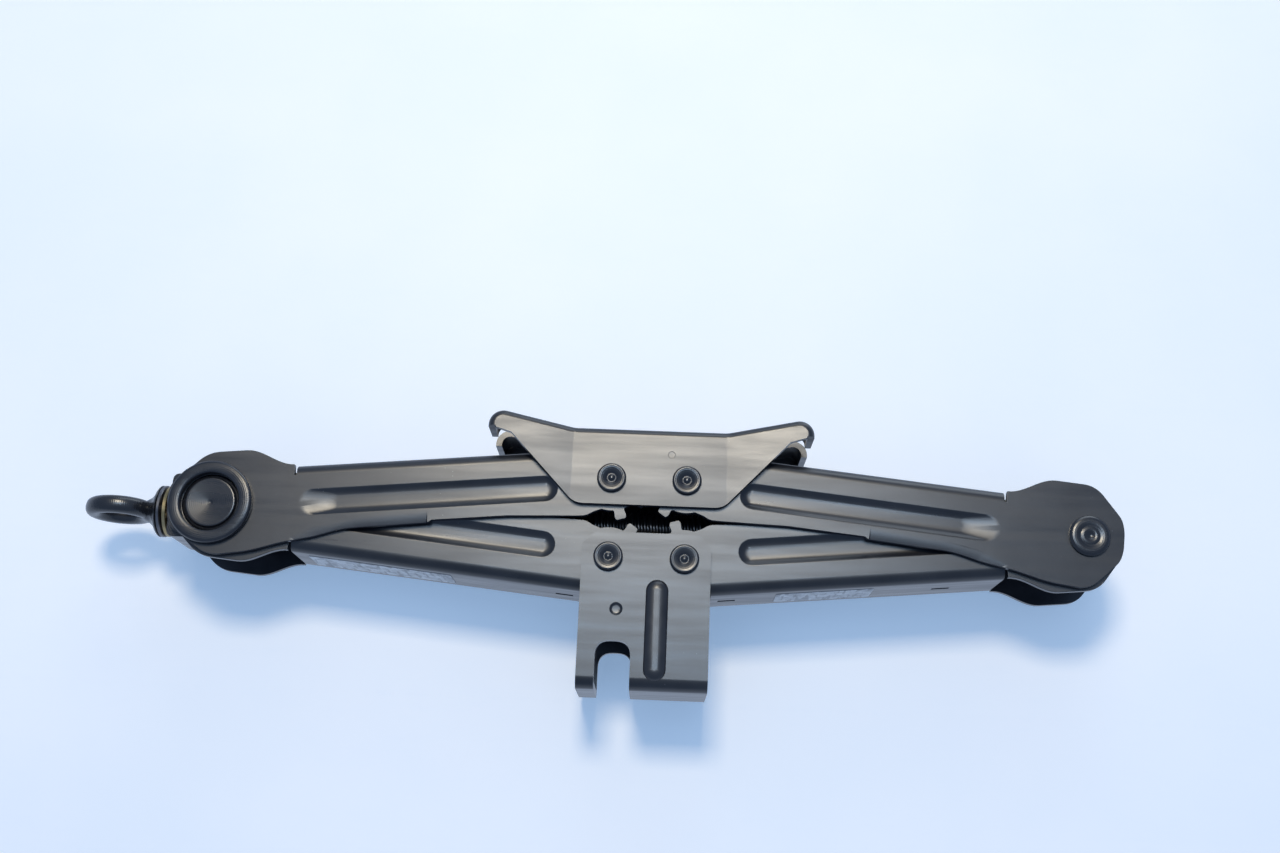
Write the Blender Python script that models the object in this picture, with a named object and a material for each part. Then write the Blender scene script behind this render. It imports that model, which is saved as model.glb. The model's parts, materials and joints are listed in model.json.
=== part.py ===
"""A lowered scissor jack: foot, four geared arms, saddle head, trunnions, spindle and crank eye.

The jack stands upright with its foot's flat underside at z = 0. +Z is the way it lifts, +X runs
along the spindle from the crank eye towards the nut, and Y is across its width. Sizes are in
millimetres and are turned into metres when a mesh is made.
"""

import math

import bmesh
import bpy
from mathutils import Vector

MM = 0.001
GAP = 0.3                       # running gap between neighbouring pieces

# plain colours
SHEET_BLACK = (0.02, 0.022, 0.027)
TURNED_BLACK = (0.03, 0.032, 0.036)
SCREW_BLACK = (0.05, 0.05, 0.055)
WASHER_GREY = (0.09, 0.09, 0.095)
PIN_GREY = (0.12, 0.12, 0.13)
CAGE_BRASS = (0.30, 0.24, 0.12)
CUTTER_RED = (1, 0, 0)

# linkage
ARM_LENGTH = 160.0              # from trunnion to gear pivot
PIVOT_HALF_SPACING = 15.0       # gear pivots lie this far each side of the middle
REST_ANGLE = math.radians(5.6)  # slope of every arm when the jack is wound down
FOOT_PIVOT_Z = 51.5
TRUNNION_X = PIVOT_HALF_SPACING + ARM_LENGTH * math.cos(REST_ANGLE)
TRUNNION_Z = FOOT_PIVOT_Z + ARM_LENGTH * math.sin(REST_ANGLE)
HEAD_PIVOT_Z = TRUNNION_Z + ARM_LENGTH * math.sin(REST_ANGLE)

# sheet metal, measured from the middle plane out to the outer faces
ARM_SHEET = 2.5
LOWER_HALF_WIDTH = 16.7
UPPER_HALF_WIDTH = LOWER_HALF_WIDTH + GAP + ARM_SHEET
FOOT_SHEET = 3.0
FOOT_HALF_WIDTH = LOWER_HALF_WIDTH + GAP + FOOT_SHEET
HEAD_SHEET = 2.5
HEAD_HALF_WIDTH = UPPER_HALF_WIDTH + GAP + HEAD_SHEET
BEND_RADIUS = 3.0
BEND_STEPS = 4
CORNER_STEPS = 3

# arm side view: u runs from the trunnion to the gear pivot, w points to the web
WEB_TOP = 14.0
WEB_START = 34.0
WEB_END = ARM_LENGTH - 12.0
RELIEF = 0.8
BOSS_HALF_HEIGHT = 21.0
BOSS_TOP_RUN = 14.0             # where the boss is full height, towards the web
BOSS_SHOULDER = 8.6             # corner heights of its outer end
BOSS_FLAT = 4.0
BOSS_CORNER = 5.0
LEFT_BOSS_REACH = 17.6
RIGHT_BOSS_REACH = 13.8
CUTTER_REACH = 40.0             # cutters run this far each side
GROOVE_START = 37.0
GROOVE_END = ARM_LENGTH - 21.5
GROOVE_MIDDLE = -2.0
GROOVE_HALF_WIDTH = 5.3
GROOVE_DEPTH = 0.9

# gear ends
TOOTH_COUNT = 9
PITCH_RADIUS = PIVOT_HALF_SPACING
TIP_RADIUS = 16.6
ROOT_RADIUS = 12.6
BACKLASH = 0.24                 # taken off each flank
FIRST_TOOTH = {"even": 0.0, "odd": 20.0}
TEETH_PER_ARM = 3

# pivot rivets
RIVET_RADIUS = 4.2
RIVET_HEAD_RADIUS = 5.8
RIVET_HEAD_HEIGHT = 1.7

# foot
FOOT_HALF_LENGTH = 25.5
FOOT_TOP_Z = 61.5
FOOT_CORNER = 5.0
NOTCH_FROM, NOTCH_TO = -18.5, -4.7
NOTCH_TOP_Z = 18.7

# saddle head
HEAD_TOP_Z = HEAD_PIVOT_Z + 21.0
HEAD_BOTTOM_Z = HEAD_PIVOT_Z - 10.5
HEAD_FLAT_HALF = 31.0
HEAD_HALF_LENGTH = 65.5
WING_RISE = 5.5
WING_FLARE = 3.0
WING_LOW_X, WING_LOW_Z = 56.0, HEAD_TOP_Z - 3.9       # where the wing's lower edge turns level
HEAD_CORNER_X = 29.6            # lower corner of the middle plate, before rounding
HEAD_CORNER = 3.6
HEAD_FLAT_STATIONS = (0.0, 14.0)
HEAD_WALL_ROWS = 3
CURL_RADIUS = 6.0               # outside of the wing ends, which curl down
CURL_LIP = 0.9
CURL_LOW_X, CURL_LOW_Z = 62.3, HEAD_TOP_Z - 2.1
CURL_STEPS = 4

# left trunnion, which takes the spindle's thrust
BLOCK_FROM, BLOCK_TO = -18.5, 12.0
BLOCK_HALF_HEIGHT = 13.0
BLOCK_HALF_WIDTH = LOWER_HALF_WIDTH - ARM_SHEET - GAP
STUB_RADIUS = 11.3
STUB_FACE_RADIUS = 10.0
RING_OUTER, RING_INNER = 16.7, 11.75
RING_HEIGHT = 3.2

# right trunnion, which is the nut
NUT_RADIUS = 10.3
NUT_STUB_RADIUS = 7.0
NUT_HEAD_RADIUS = 8.1
NUT_HEAD_HEIGHT = 1.8

# spindle, along X, with places counted from the left trunnion's axis
SPINDLE_RADIUS = 6.8
SHANK_RADIUS = 6.0
TIP_SHANK_RADIUS = 3.4
SPINDLE_TIP = -31.0
WASHER_OUTER = 10.6
WASHER_THICKNESS = 1.5
BALL_RADIUS = 1.45
BALL_CIRCLE = 8.4
BALL_COUNT = 8
EYE_CENTRE = -42.9
EYE_HOLE_RADIUS = 7.35
EYE_OUTER_RADIUS = 13.9
EYE_THICKNESS = 7.2
EYE_PIN_X = -27.7
EYE_PIN_RADIUS = 1.2
END_NECK_RADIUS = 5.0           # the spindle beyond its thread
END_STOP_RADIUS = 8.6
END_STOP_LENGTH = 2.3
THREAD_START = 13.0
SPINDLE_END = 2 * TRUNNION_X + 13.7

LEFT, RIGHT = -1, 1
LOWER, UPPER = -1, 1


def clear_scene():
    for old in list(bpy.data.objects):
        bpy.data.objects.remove(old)


def make_material(name, colour, roughness, metallic):
    material = bpy.data.materials.new(name)
    material.use_nodes = True
    shader = material.node_tree.nodes["Principled BSDF"]
    shader.inputs["Base Color"].default_value = (*colour, 1.0)
    shader.inputs["Roughness"].default_value = roughness
    shader.inputs["Metallic"].default_value = metallic
    return material


def add_object(name, bm, colour, pivot=(0, 0, 0), smooth=False, roughness=0.35):
    """Turns a bmesh in millimetres into an object whose origin is at pivot."""
    bmesh.ops.recalc_face_normals(bm, faces=bm.faces)
    shift = Vector(pivot)
    for vert in bm.verts:
        vert.co = (vert.co - shift) * MM
    mesh = bpy.data.meshes.new(name)
    bm.to_mesh(mesh)
    bm.free()
    if smooth:
        mesh.shade_smooth()
        mesh.set_sharp_from_angle(angle=math.radians(35))
    mesh.materials.append(make_material(name, colour, roughness, 0.2))
    made = bpy.data.objects.new(name, mesh)
    made.location = shift * MM
    bpy.context.scene.collection.objects.link(made)
    return made


def add_cutter(name, bm):
    cutter = add_object(name, bm, CUTTER_RED)
    cutter.hide_render = True
    cutter.display_type = "WIRE"
    return cutter


def combine(target, other, operation):
    modifier = target.modifiers.new(other.name, "BOOLEAN")
    modifier.operation = operation
    modifier.solver = "EXACT"
    modifier.object = other


def solidify(target, thickness):
    modifier = target.modifiers.new("sheet", "SOLIDIFY")
    modifier.thickness = thickness * MM
    modifier.offset = 0.0
    modifier.use_even_offset = True


def arc(centre, radius, start, end, steps):
    """Points on an arc, angles in degrees."""
    points = []
    for i in range(steps + 1):
        angle = math.radians(start + (end - start) * i / steps)
        x = centre[0] + radius * math.cos(angle)
        z = centre[1] + radius * math.sin(angle)
        points.append((x, z))
    return points


def rounded(points, radius, steps=CORNER_STEPS):
    """The closed outline with each corner replaced by a short curve."""
    result = []
    for i, point in enumerate(points):
        corner = Vector(point)
        before = Vector(points[i - 1]) - corner
        after = Vector(points[(i + 1) % len(points)]) - corner
        reach = min(radius, 0.45 * before.length, 0.45 * after.length)
        start = corner + before.normalized() * reach
        end = corner + after.normalized() * reach
        for k in range(steps + 1):
            t = k / steps
            spot = start * (1 - t) ** 2 + corner * 2 * t * (1 - t) + end * t ** 2
            result.append((spot.x, spot.y))
    return result


def add_prism(bm, outline, y_from, y_to):
    """A closed bar whose outline is in X and Z, running along Y."""
    near = [bm.verts.new((x, y_from, z)) for x, z in outline]
    far = [bm.verts.new((x, y_to, z)) for x, z in outline]
    bm.faces.new(near)
    bm.faces.new(list(reversed(far)))
    for i in range(len(outline)):
        j = (i + 1) % len(outline)
        bm.faces.new((near[i], far[i], far[j], near[j]))


def add_turned(bm, profile, axis, centre, steps=24):
    """Spins a closed profile of (place along the axis, radius) about X, Y or Z."""
    rings = []
    for along, radius in profile:
        ring = []
        for k in range(steps):
            angle = 2 * math.pi * k / steps
            across = (radius * math.cos(angle), radius * math.sin(angle))
            place = {"X": (along, *across), "Y": (across[0], along, across[1]),
                     "Z": (*across, along)}[axis]
            ring.append(bm.verts.new(Vector(place) + Vector(centre)))
        rings.append(ring)
    for i, ring in enumerate(rings):
        following = rings[(i + 1) % len(rings)]
        for k in range(steps):
            n = (k + 1) % steps
            bm.faces.new((ring[k], ring[n], following[n], following[k]))
    bmesh.ops.remove_doubles(bm, verts=bm.verts, dist=1e-4)
    flat = [face for face in bm.faces if face.calc_area() < 1e-7]
    bmesh.ops.delete(bm, geom=flat, context="FACES_ONLY")


def drill_profile(radius):
    return [(-CUTTER_REACH, 0), (-CUTTER_REACH, radius), (CUTTER_REACH, radius), (CUTTER_REACH, 0)]


def cylinder_cutter(name, axis, centre, radius, reach_from, reach_to, steps=20):
    bm = bmesh.new()
    profile = [(reach_from, 0), (reach_from, radius), (reach_to, radius), (reach_to, 0)]
    add_solid_turned(bm, profile, axis, centre, steps)
    return add_cutter(name, bm)


def add_solid_turned(bm, profile, axis, centre, steps=24):
    """Spins an open profile that starts and ends on the axis, with flat fans at both ends."""
    rings = []
    for along, radius in profile:
        count = steps if radius > 0 else 1
        ring = []
        for k in range(count):
            angle = 2 * math.pi * k / steps
            across = (radius * math.cos(angle), radius * math.sin(angle))
            place = {"X": (along, *across), "Y": (across[0], along, across[1]),
                     "Z": (*across, along)}[axis]
            ring.append(bm.verts.new(Vector(place) + Vector(centre)))
        rings.append(ring)
    for ring, following in zip(rings, rings[1:]):
        for k in range(steps):
            n = (k + 1) % steps
            corners = [ring[k % len(ring)], ring[n % len(ring)]]
            corners += [following[n % len(following)], following[k % len(following)]]
            bm.faces.new(list(dict.fromkeys(corners)))


def tooth_flank():
    """(radius, half angle in degrees) up one side of a tooth: a radial root, a cycloid tip."""
    rolling = PITCH_RADIUS / 2
    half = 90.0 / TOOTH_COUNT - math.degrees(BACKLASH / PITCH_RADIUS)
    flank = [(ROOT_RADIUS, half + 1.2), (ROOT_RADIUS + 0.6, half), (PITCH_RADIUS, half)]
    reach = PITCH_RADIUS + rolling
    for k in range(1, 4):
        turn = math.radians(15.9) * k / 3
        x = reach * math.cos(turn) - rolling * math.cos(turn * reach / rolling)
        z = reach * math.sin(turn) - rolling * math.sin(turn * reach / rolling)
        flank.append((min(math.hypot(x, z), TIP_RADIUS), half - math.degrees(math.atan2(z, x))))
    return flank


def gear_outline(first_tooth):
    """The arm's gear end, from its free edge round to its web side."""
    points = []
    teeth = [first_tooth - k * 360 / TOOTH_COUNT for k in range(TEETH_PER_ARM)]
    centre = (ARM_LENGTH, 0)
    flank = tooth_flank()
    root = flank[0][1]
    before = -112.0
    for middle in reversed(teeth):
        points += arc(centre, ROOT_RADIUS, before, middle - root, 3)[:-1]
        sides = [(r, -a) for r, a in flank] + [(r, a) for r, a in reversed(flank)]
        points += [arc(centre, radius, middle + angle, middle, 1)[0] for radius, angle in sides]
        before = middle + root
    points += arc(centre, ROOT_RADIUS, before, 70.0, 4)[1:]
    return points


def distinct(points):
    """The outline without points that repeat the one before."""
    kept = []
    for i, point in enumerate(points):
        if math.dist(point, points[i - 1]) > 0.01:
            kept.append(point)
    return kept


def boss_outline(reach):
    """The wide end round the trunnion, from the web's start over the top to the free edge."""
    high = BOSS_HALF_HEIGHT
    slope_end = WEB_START - RELIEF
    points = []
    for k in range(7):
        t = k / 6
        w = WEB_TOP + (high - WEB_TOP) * (1 - math.cos(math.pi * t)) / 2
        points.append((slope_end + (BOSS_TOP_RUN - slope_end) * t, w))
    corner = reach - 1.2
    octagon = [(BOSS_TOP_RUN, high), (-1.5, high), (-corner, BOSS_SHOULDER), (-reach, BOSS_FLAT),
               (-reach, -BOSS_FLAT), (-corner, -BOSS_SHOULDER), (-1.5, -high), (BOSS_TOP_RUN, -high)]
    inner = slice(CORNER_STEPS + 1, -CORNER_STEPS - 1)
    points += rounded(octagon, BOSS_CORNER)[inner]
    points += [(16.0, -20.2), (28.0, -17.6), (41.0, -16.0), (48.0, -14.4), (54.0, -13.4)]
    points += [(86.0, -13.0), (87.6, -12.2)]
    return points


def flange_outline(first_tooth, reach):
    points = boss_outline(reach)
    points += [(ARM_LENGTH - 19.0, -12.2), (ARM_LENGTH - 16.4, -15.6), (ARM_LENGTH - 13.6, -16.2)]
    points += gear_outline(first_tooth)
    points += [(ARM_LENGTH - 5.0, WEB_TOP), (WEB_END + RELIEF, WEB_TOP)]
    points += [(WEB_END + RELIEF, WEB_TOP - BEND_RADIUS), (WEB_END, WEB_TOP - BEND_RADIUS)]
    points += [(WEB_START, WEB_TOP - BEND_RADIUS), (WEB_START - RELIEF, WEB_TOP - BEND_RADIUS)]
    return distinct(points)


def arm_place(side, level, u, w):
    """Where a point of an arm's side view lies in the jack's X and Z, at rest."""
    run = Vector((-side * math.cos(REST_ANGLE), level * math.sin(REST_ANGLE)))
    web = Vector((side * math.sin(REST_ANGLE), level * math.cos(REST_ANGLE)))
    spot = Vector((side * TRUNNION_X, TRUNNION_Z)) + run * u + web * w
    return spot.x, spot.y


def loop_edges(bm, verts):
    edges = []
    for i, vert in enumerate(verts):
        following = verts[(i + 1) % len(verts)]
        edges.append(bm.edges.get((vert, following)) or bm.edges.new((vert, following)))
    return edges


def add_flange(bm, side, level, y, outline, trunnion_hole):
    """One side plate as a flat sheet with its two pivot holes; returns the web edge's ends."""
    verts = []
    for u, w in outline:
        x, z = arm_place(side, level, u, w)
        verts.append(bm.verts.new((x, y, z)))
    edges = loop_edges(bm, verts)
    for u, radius in ((0.0, trunnion_hole), (ARM_LENGTH, RIVET_RADIUS + GAP)):
        hole = []
        for du, dw in arc((0, 0), radius, 0, 340, 17):
            x, z = arm_place(side, level, u + du, dw)
            hole.append(bm.verts.new((x, y, z)))
        edges += loop_edges(bm, hole)
    bmesh.ops.triangle_fill(bm, edges=edges, use_beauty=True)
    return verts[-3], verts[-2]


def add_web(bm, side, level, half, left_edge, right_edge):
    """The bent strip that joins both side plates along their web edges."""
    radius = BEND_RADIUS - ARM_SHEET / 2
    section = []
    for angle in range(1, BEND_STEPS + 1):
        turn = math.radians(90 * angle / BEND_STEPS)
        y = half - radius + radius * math.cos(turn)
        w = WEB_TOP - BEND_RADIUS + radius * math.sin(turn)
        section.append((y, w))
    section = section + [(-y, w) for y, w in reversed(section)]
    rows = [right_edge]
    for y, w in section:
        row = []
        for u in (WEB_END, WEB_START):
            x, z = arm_place(side, level, u, w)
            row.append(bm.verts.new((x, y, z)))
        rows.append(row)
    rows.append(left_edge)
    for row, following in zip(rows, rows[1:]):
        bm.faces.new((row[0], row[1], following[1], following[0]))


def groove_cutter(name, side, level, half_width):
    """Long shallow slots with round ends, one in each side plate's outer face."""
    ends = arc((GROOVE_END - GROOVE_HALF_WIDTH, GROOVE_MIDDLE), GROOVE_HALF_WIDTH, -90, 90, 5)
    ends += arc((GROOVE_START + GROOVE_HALF_WIDTH, GROOVE_MIDDLE), GROOVE_HALF_WIDTH, 90, 270, 5)
    outline = [arm_place(side, level, u, w) for u, w in ends]
    bm = bmesh.new()
    add_prism(bm, outline, half_width - GROOVE_DEPTH, half_width + 2)
    add_prism(bm, outline, -half_width - 2, GROOVE_DEPTH - half_width)
    return add_cutter(name, bm)


def make_arm(name, side, level):
    half_width = UPPER_HALF_WIDTH if level == UPPER else LOWER_HALF_WIDTH
    middle = half_width - ARM_SHEET / 2
    reach = LEFT_BOSS_REACH if side == LEFT else RIGHT_BOSS_REACH
    hole = (STUB_RADIUS if side == LEFT else NUT_STUB_RADIUS) + GAP
    kind = "even" if side * level < 0 else "odd"
    outline = flange_outline(FIRST_TOOTH[kind], reach)
    bm = bmesh.new()
    right_edge = add_flange(bm, side, level, middle, outline, hole)
    left_edge = add_flange(bm, side, level, -middle, outline, hole)
    add_web(bm, side, level, middle, left_edge, right_edge)
    if level == LOWER:
        pivot = (side * PIVOT_HALF_SPACING, 0, FOOT_PIVOT_Z)
    else:
        pivot = (side * TRUNNION_X, 0, TRUNNION_Z)
    arm = add_object(name, bm, SHEET_BLACK, pivot)
    solidify(arm, ARM_SHEET)
    combine(arm, groove_cutter(name + "_grooves", side, level, half_width), "DIFFERENCE")


def add_rows(bm, point_rows):
    """A sheet through rows that all have the same number of points."""
    rows = [[bm.verts.new(point) for point in points] for points in point_rows]
    for row, following in zip(rows, rows[1:]):
        for i in range(len(row) - 1):
            bm.faces.new((row[i], row[i + 1], following[i + 1], following[i]))


def bent_section(half, flat_z, edge_z, radius):
    """Half of an upright U: down from the edge and round the bend; flat_z is the web's place."""
    points = [(half, edge_z)]
    for k in range(BEND_STEPS + 1):
        turn = math.radians(90 * k / BEND_STEPS)
        y = half - radius + radius * math.cos(turn)
        points.append((y, flat_z + radius - radius * math.sin(turn)))
    return points


def foot_section(x):
    half = FOOT_HALF_WIDTH - FOOT_SHEET / 2
    cut = max(0.0, abs(x) - (FOOT_HALF_LENGTH - FOOT_CORNER))
    radius = BEND_RADIUS - FOOT_SHEET / 2
    side = bent_section(half, FOOT_SHEET / 2, FOOT_TOP_Z - cut, radius)
    return [(x, y, z) for y, z in side] + [(x, -y, z) for y, z in reversed(side)]


def make_foot():
    bm = bmesh.new()
    corner = FOOT_HALF_LENGTH - FOOT_CORNER
    stations = [-FOOT_HALF_LENGTH, -corner, corner, FOOT_HALF_LENGTH]
    add_rows(bm, [foot_section(x) for x in stations])
    foot = add_object("foot", bm, SHEET_BLACK)
    solidify(foot, FOOT_SHEET)

    notch = bmesh.new()
    width = NOTCH_TO - NOTCH_FROM
    shape = [(NOTCH_FROM, -5), (NOTCH_TO, -5), (NOTCH_TO, NOTCH_TOP_Z), (NOTCH_FROM, NOTCH_TOP_Z)]
    soft = rounded(shape, 0.3 * width)
    add_prism(notch, [shape[0], shape[1]] + soft[8:], -CUTTER_REACH, CUTTER_REACH)
    combine(foot, add_cutter("foot_notch", notch), "DIFFERENCE")

    holes = bmesh.new()
    for side in (LEFT, RIGHT):
        centre = (side * PIVOT_HALF_SPACING, 0, FOOT_PIVOT_Z)
        add_solid_turned(holes, drill_profile(RIVET_RADIUS + GAP), "Y", centre, 16)
    combine(foot, add_cutter("foot_holes", holes), "DIFFERENCE")


def head_half(x):
    """Half width of the saddle head's side plates, which flare from the crease outwards."""
    away = max(0.0, abs(x) - HEAD_FLAT_HALF)
    return HEAD_HALF_WIDTH - HEAD_SHEET / 2 + WING_FLARE * away / (HEAD_HALF_LENGTH - HEAD_FLAT_HALF)


def head_stations():
    """From the middle to the right tip: (web place, outward normal, lower edge place) in X and Z."""
    sheet = HEAD_SHEET / 2
    up = Vector((0, 1))
    web_z = HEAD_TOP_Z - sheet
    stations = []
    for x in HEAD_FLAT_STATIONS:
        stations.append((Vector((x, web_z)), up, Vector((x, HEAD_BOTTOM_Z))))

    # rounded lower corner, ending at the crease
    corner = Vector((HEAD_CORNER_X, HEAD_BOTTOM_Z))
    wing_low = Vector((WING_LOW_X, WING_LOW_Z))
    before = corner - Vector((HEAD_CORNER, 0))
    after = corner + (wing_low - corner).normalized() * HEAD_CORNER
    for k in range(CORNER_STEPS + 1):
        t = k / CORNER_STEPS
        edge = before.lerp(corner, t).lerp(corner.lerp(after, t), t)
        place = Vector((before.x + (HEAD_FLAT_HALF - before.x) * t, web_z))
        stations.append((place, up, edge))

    # wing, then the tip curled down through a quarter turn
    crease = Vector((HEAD_FLAT_HALF, web_z))
    centre = Vector((HEAD_HALF_LENGTH - CURL_RADIUS, HEAD_TOP_Z + WING_RISE - CURL_RADIUS))
    radius = CURL_RADIUS - sheet
    reach = centre - crease
    slope = math.atan2(reach.y, reach.x) + math.asin(radius / reach.length)
    last = Vector((CURL_LOW_X, CURL_LOW_Z))
    for k in range(CURL_STEPS + 1):
        t = k / CURL_STEPS
        turn = (math.pi / 2 + slope) * (1 - t)
        normal = Vector((math.cos(turn), math.sin(turn)))
        stations.append((centre + normal * radius, normal, wing_low.lerp(last, 0.9 * t)))
    tip = centre + Vector((radius, -CURL_LIP))
    stations.append((tip, Vector((1, 0)), last))
    return stations


def head_row(place, normal, edge):
    """Half a section, from the lower edge up the side plate and round the bend to the web."""
    radius = BEND_RADIUS - HEAD_SHEET / 2
    start = place - normal * radius
    points = []
    for k in range(HEAD_WALL_ROWS):
        spot = edge.lerp(start, k / HEAD_WALL_ROWS)
        points.append((spot.x, head_half(spot.x), spot.y))
    for k in range(BEND_STEPS + 1):
        turn = math.radians(90 * k / BEND_STEPS)
        spot = start + normal * radius * math.sin(turn)
        points.append((spot.x, head_half(start.x) - radius + radius * math.cos(turn), spot.y))
    return points + [(x, -y, z) for x, y, z in reversed(points)]


def make_saddle_head():
    bm = bmesh.new()
    right = [head_row(*station) for station in head_stations()]
    left = [[(-x, y, z) for x, y, z in row] for row in right]
    add_rows(bm, list(reversed(left[1:])) + right)
    pivot = (-PIVOT_HALF_SPACING, 0, HEAD_PIVOT_Z)
    head = add_object("saddle_head", bm, SHEET_BLACK, pivot)
    solidify(head, HEAD_SHEET)
    holes = bmesh.new()
    for side in (LEFT, RIGHT):
        centre = (side * PIVOT_HALF_SPACING, 0, HEAD_PIVOT_Z)
        add_solid_turned(holes, drill_profile(RIVET_RADIUS + GAP), "Y", centre, 16)
    combine(head, add_cutter("head_holes", holes), "DIFFERENCE")


def make_rivet(name, side, height, plate_face):
    """A pivot rivet with a flat dimpled head on both outer faces."""
    inner = plate_face + GAP
    outer = inner + RIVET_HEAD_HEIGHT
    half = [(outer - 0.7, 0), (outer, 1.8), (outer, RIVET_HEAD_RADIUS - 0.6),
            (outer - 0.6, RIVET_HEAD_RADIUS), (inner, RIVET_HEAD_RADIUS), (inner, RIVET_RADIUS)]
    profile = [(-y, r) for y, r in half] + list(reversed(half))
    bm = bmesh.new()
    centre = (side * PIVOT_HALF_SPACING, 0, height)
    add_solid_turned(bm, profile, "Y", centre, 16)
    add_object(name, bm, TURNED_BLACK, centre, smooth=True, roughness=0.3)


def make_thrust_trunnion():
    """The block that the spindle turns in, with a round stub through the ears on each side."""
    centre = (-TRUNNION_X, 0, TRUNNION_Z)
    tall = BLOCK_HALF_HEIGHT
    shape = [(BLOCK_FROM, -tall), (BLOCK_TO, -tall), (BLOCK_TO, tall), (BLOCK_FROM, tall)]
    outline = [(x - TRUNNION_X, z + TRUNNION_Z) for x, z in rounded(shape, 2.5)]
    bm = bmesh.new()
    add_prism(bm, outline, -BLOCK_HALF_WIDTH, BLOCK_HALF_WIDTH)
    block = add_object("thrust_trunnion", bm, TURNED_BLACK, centre)
    face = UPPER_HALF_WIDTH
    half = [(face + 0.9, 0), (face + 1.8, STUB_FACE_RADIUS - 0.4), (face + 1.5, STUB_FACE_RADIUS),
            (face + 0.6, STUB_FACE_RADIUS + 0.2), (face + 0.2, STUB_RADIUS)]
    stubs = bmesh.new()
    profile = [(-y, r) for y, r in half] + list(reversed(half))
    add_solid_turned(stubs, profile, "Y", centre)
    combine(block, add_cutter("thrust_stubs", stubs), "UNION")
    hole = cylinder_cutter("thrust_hole", "X", centre, SHANK_RADIUS + GAP, -CUTTER_REACH, CUTTER_REACH)
    combine(block, hole, "DIFFERENCE")


def make_trunnion_ring(name, near):
    inner = UPPER_HALF_WIDTH + GAP
    outer = inner + RING_HEIGHT
    profile = [(near * inner, RING_INNER), (near * (outer - 0.8), RING_INNER),
               (near * outer, RING_INNER + 0.8), (near * outer, RING_OUTER - 1.0),
               (near * (outer - 1.0), RING_OUTER), (near * inner, RING_OUTER)]
    bm = bmesh.new()
    centre = (-TRUNNION_X, 0, TRUNNION_Z)
    add_turned(bm, profile, "Y", centre, 32)
    add_object(name, bm, TURNED_BLACK, centre, smooth=True, roughness=0.3)


def make_nut_trunnion():
    """The cross barrel that rides along the thread, with a stub and head on each side."""
    centre = (TRUNNION_X, 0, TRUNNION_Z)
    inner = UPPER_HALF_WIDTH + GAP
    outer = inner + NUT_HEAD_HEIGHT
    half = [(outer - 0.8, 0), (outer - 0.1, 1.2), (outer, NUT_HEAD_RADIUS - 0.6),
            (outer - 0.5, NUT_HEAD_RADIUS), (inner, NUT_HEAD_RADIUS), (inner, NUT_STUB_RADIUS),
            (BLOCK_HALF_WIDTH, NUT_STUB_RADIUS), (BLOCK_HALF_WIDTH, NUT_RADIUS)]
    bm = bmesh.new()
    profile = [(-y, r) for y, r in half] + list(reversed(half))
    add_solid_turned(bm, profile, "Y", centre)
    nut = add_object("nut_trunnion", bm, TURNED_BLACK, centre, True, 0.3)
    hole = cylinder_cutter("nut_hole", "X", centre, SPINDLE_RADIUS + GAP, -CUTTER_REACH, CUTTER_REACH)
    combine(nut, hole, "DIFFERENCE")


def spindle_place():
    return (-TRUNNION_X, 0, TRUNNION_Z)


def make_spindle():
    centre = spindle_place()
    nut = 2 * TRUNNION_X
    thread_to = nut + NUT_RADIUS - 0.4
    washer_end = BLOCK_FROM - 3 * GAP - 2 * WASHER_THICKNESS - 2 * BALL_RADIUS
    profile = [(SPINDLE_TIP, 0), (SPINDLE_TIP, TIP_SHANK_RADIUS), (washer_end, TIP_SHANK_RADIUS),
               (washer_end, SHANK_RADIUS), (THREAD_START, SHANK_RADIUS),
               (THREAD_START + 0.8, SPINDLE_RADIUS), (thread_to, SPINDLE_RADIUS),
               (thread_to + 0.4, END_NECK_RADIUS), (SPINDLE_END, END_NECK_RADIUS),
               (SPINDLE_END, 0)]
    bm = bmesh.new()
    add_solid_turned(bm, profile, "X", centre, 20)
    spindle = add_object("spindle", bm, SCREW_BLACK, centre, True, 0.4)
    hole = eye_pin_hole("spindle_pin_hole")
    combine(spindle, hole, "DIFFERENCE")


def eye_pin_hole(name):
    x, y, z = spindle_place()
    return cylinder_cutter(name, "Z", (x + EYE_PIN_X, y, z), EYE_PIN_RADIUS + GAP, -20, 20, 10)


def make_washer(name, start):
    """A thrust washer whose left face is at start, counted from the trunnion's axis."""
    end = start + WASHER_THICKNESS
    hole = SHANK_RADIUS + GAP
    profile = [(start, hole), (end, hole), (end, WASHER_OUTER - 0.3), (end - 0.3, WASHER_OUTER),
               (start + 0.3, WASHER_OUTER), (start, WASHER_OUTER - 0.3)]
    bm = bmesh.new()
    add_turned(bm, profile, "X", spindle_place(), 20)
    add_object(name, bm, WASHER_GREY, spindle_place(), smooth=True, roughness=0.25)


def make_ball_cage(middle):
    """The thrust bearing's flat cage with its balls."""
    profile = [(middle - 0.7, SHANK_RADIUS + 0.4), (middle + 0.7, SHANK_RADIUS + 0.4),
               (middle + 0.7, WASHER_OUTER - 0.2), (middle - 0.7, WASHER_OUTER - 0.2)]
    bm = bmesh.new()
    add_turned(bm, profile, "X", spindle_place(), 20)
    cage = add_object("ball_cage", bm, CAGE_BRASS, spindle_place(), smooth=True)
    balls = bmesh.new()
    x, y, z = spindle_place()
    for k in range(BALL_COUNT):
        turn = 2 * math.pi * (k + 0.5) / BALL_COUNT
        made = bmesh.ops.create_icosphere(balls, subdivisions=1, radius=BALL_RADIUS)
        spot = (x + middle, y + BALL_CIRCLE * math.cos(turn), z + BALL_CIRCLE * math.sin(turn))
        bmesh.ops.translate(balls, verts=made["verts"], vec=spot)
    combine(cage, add_cutter("cage_balls", balls), "UNION")


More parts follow.
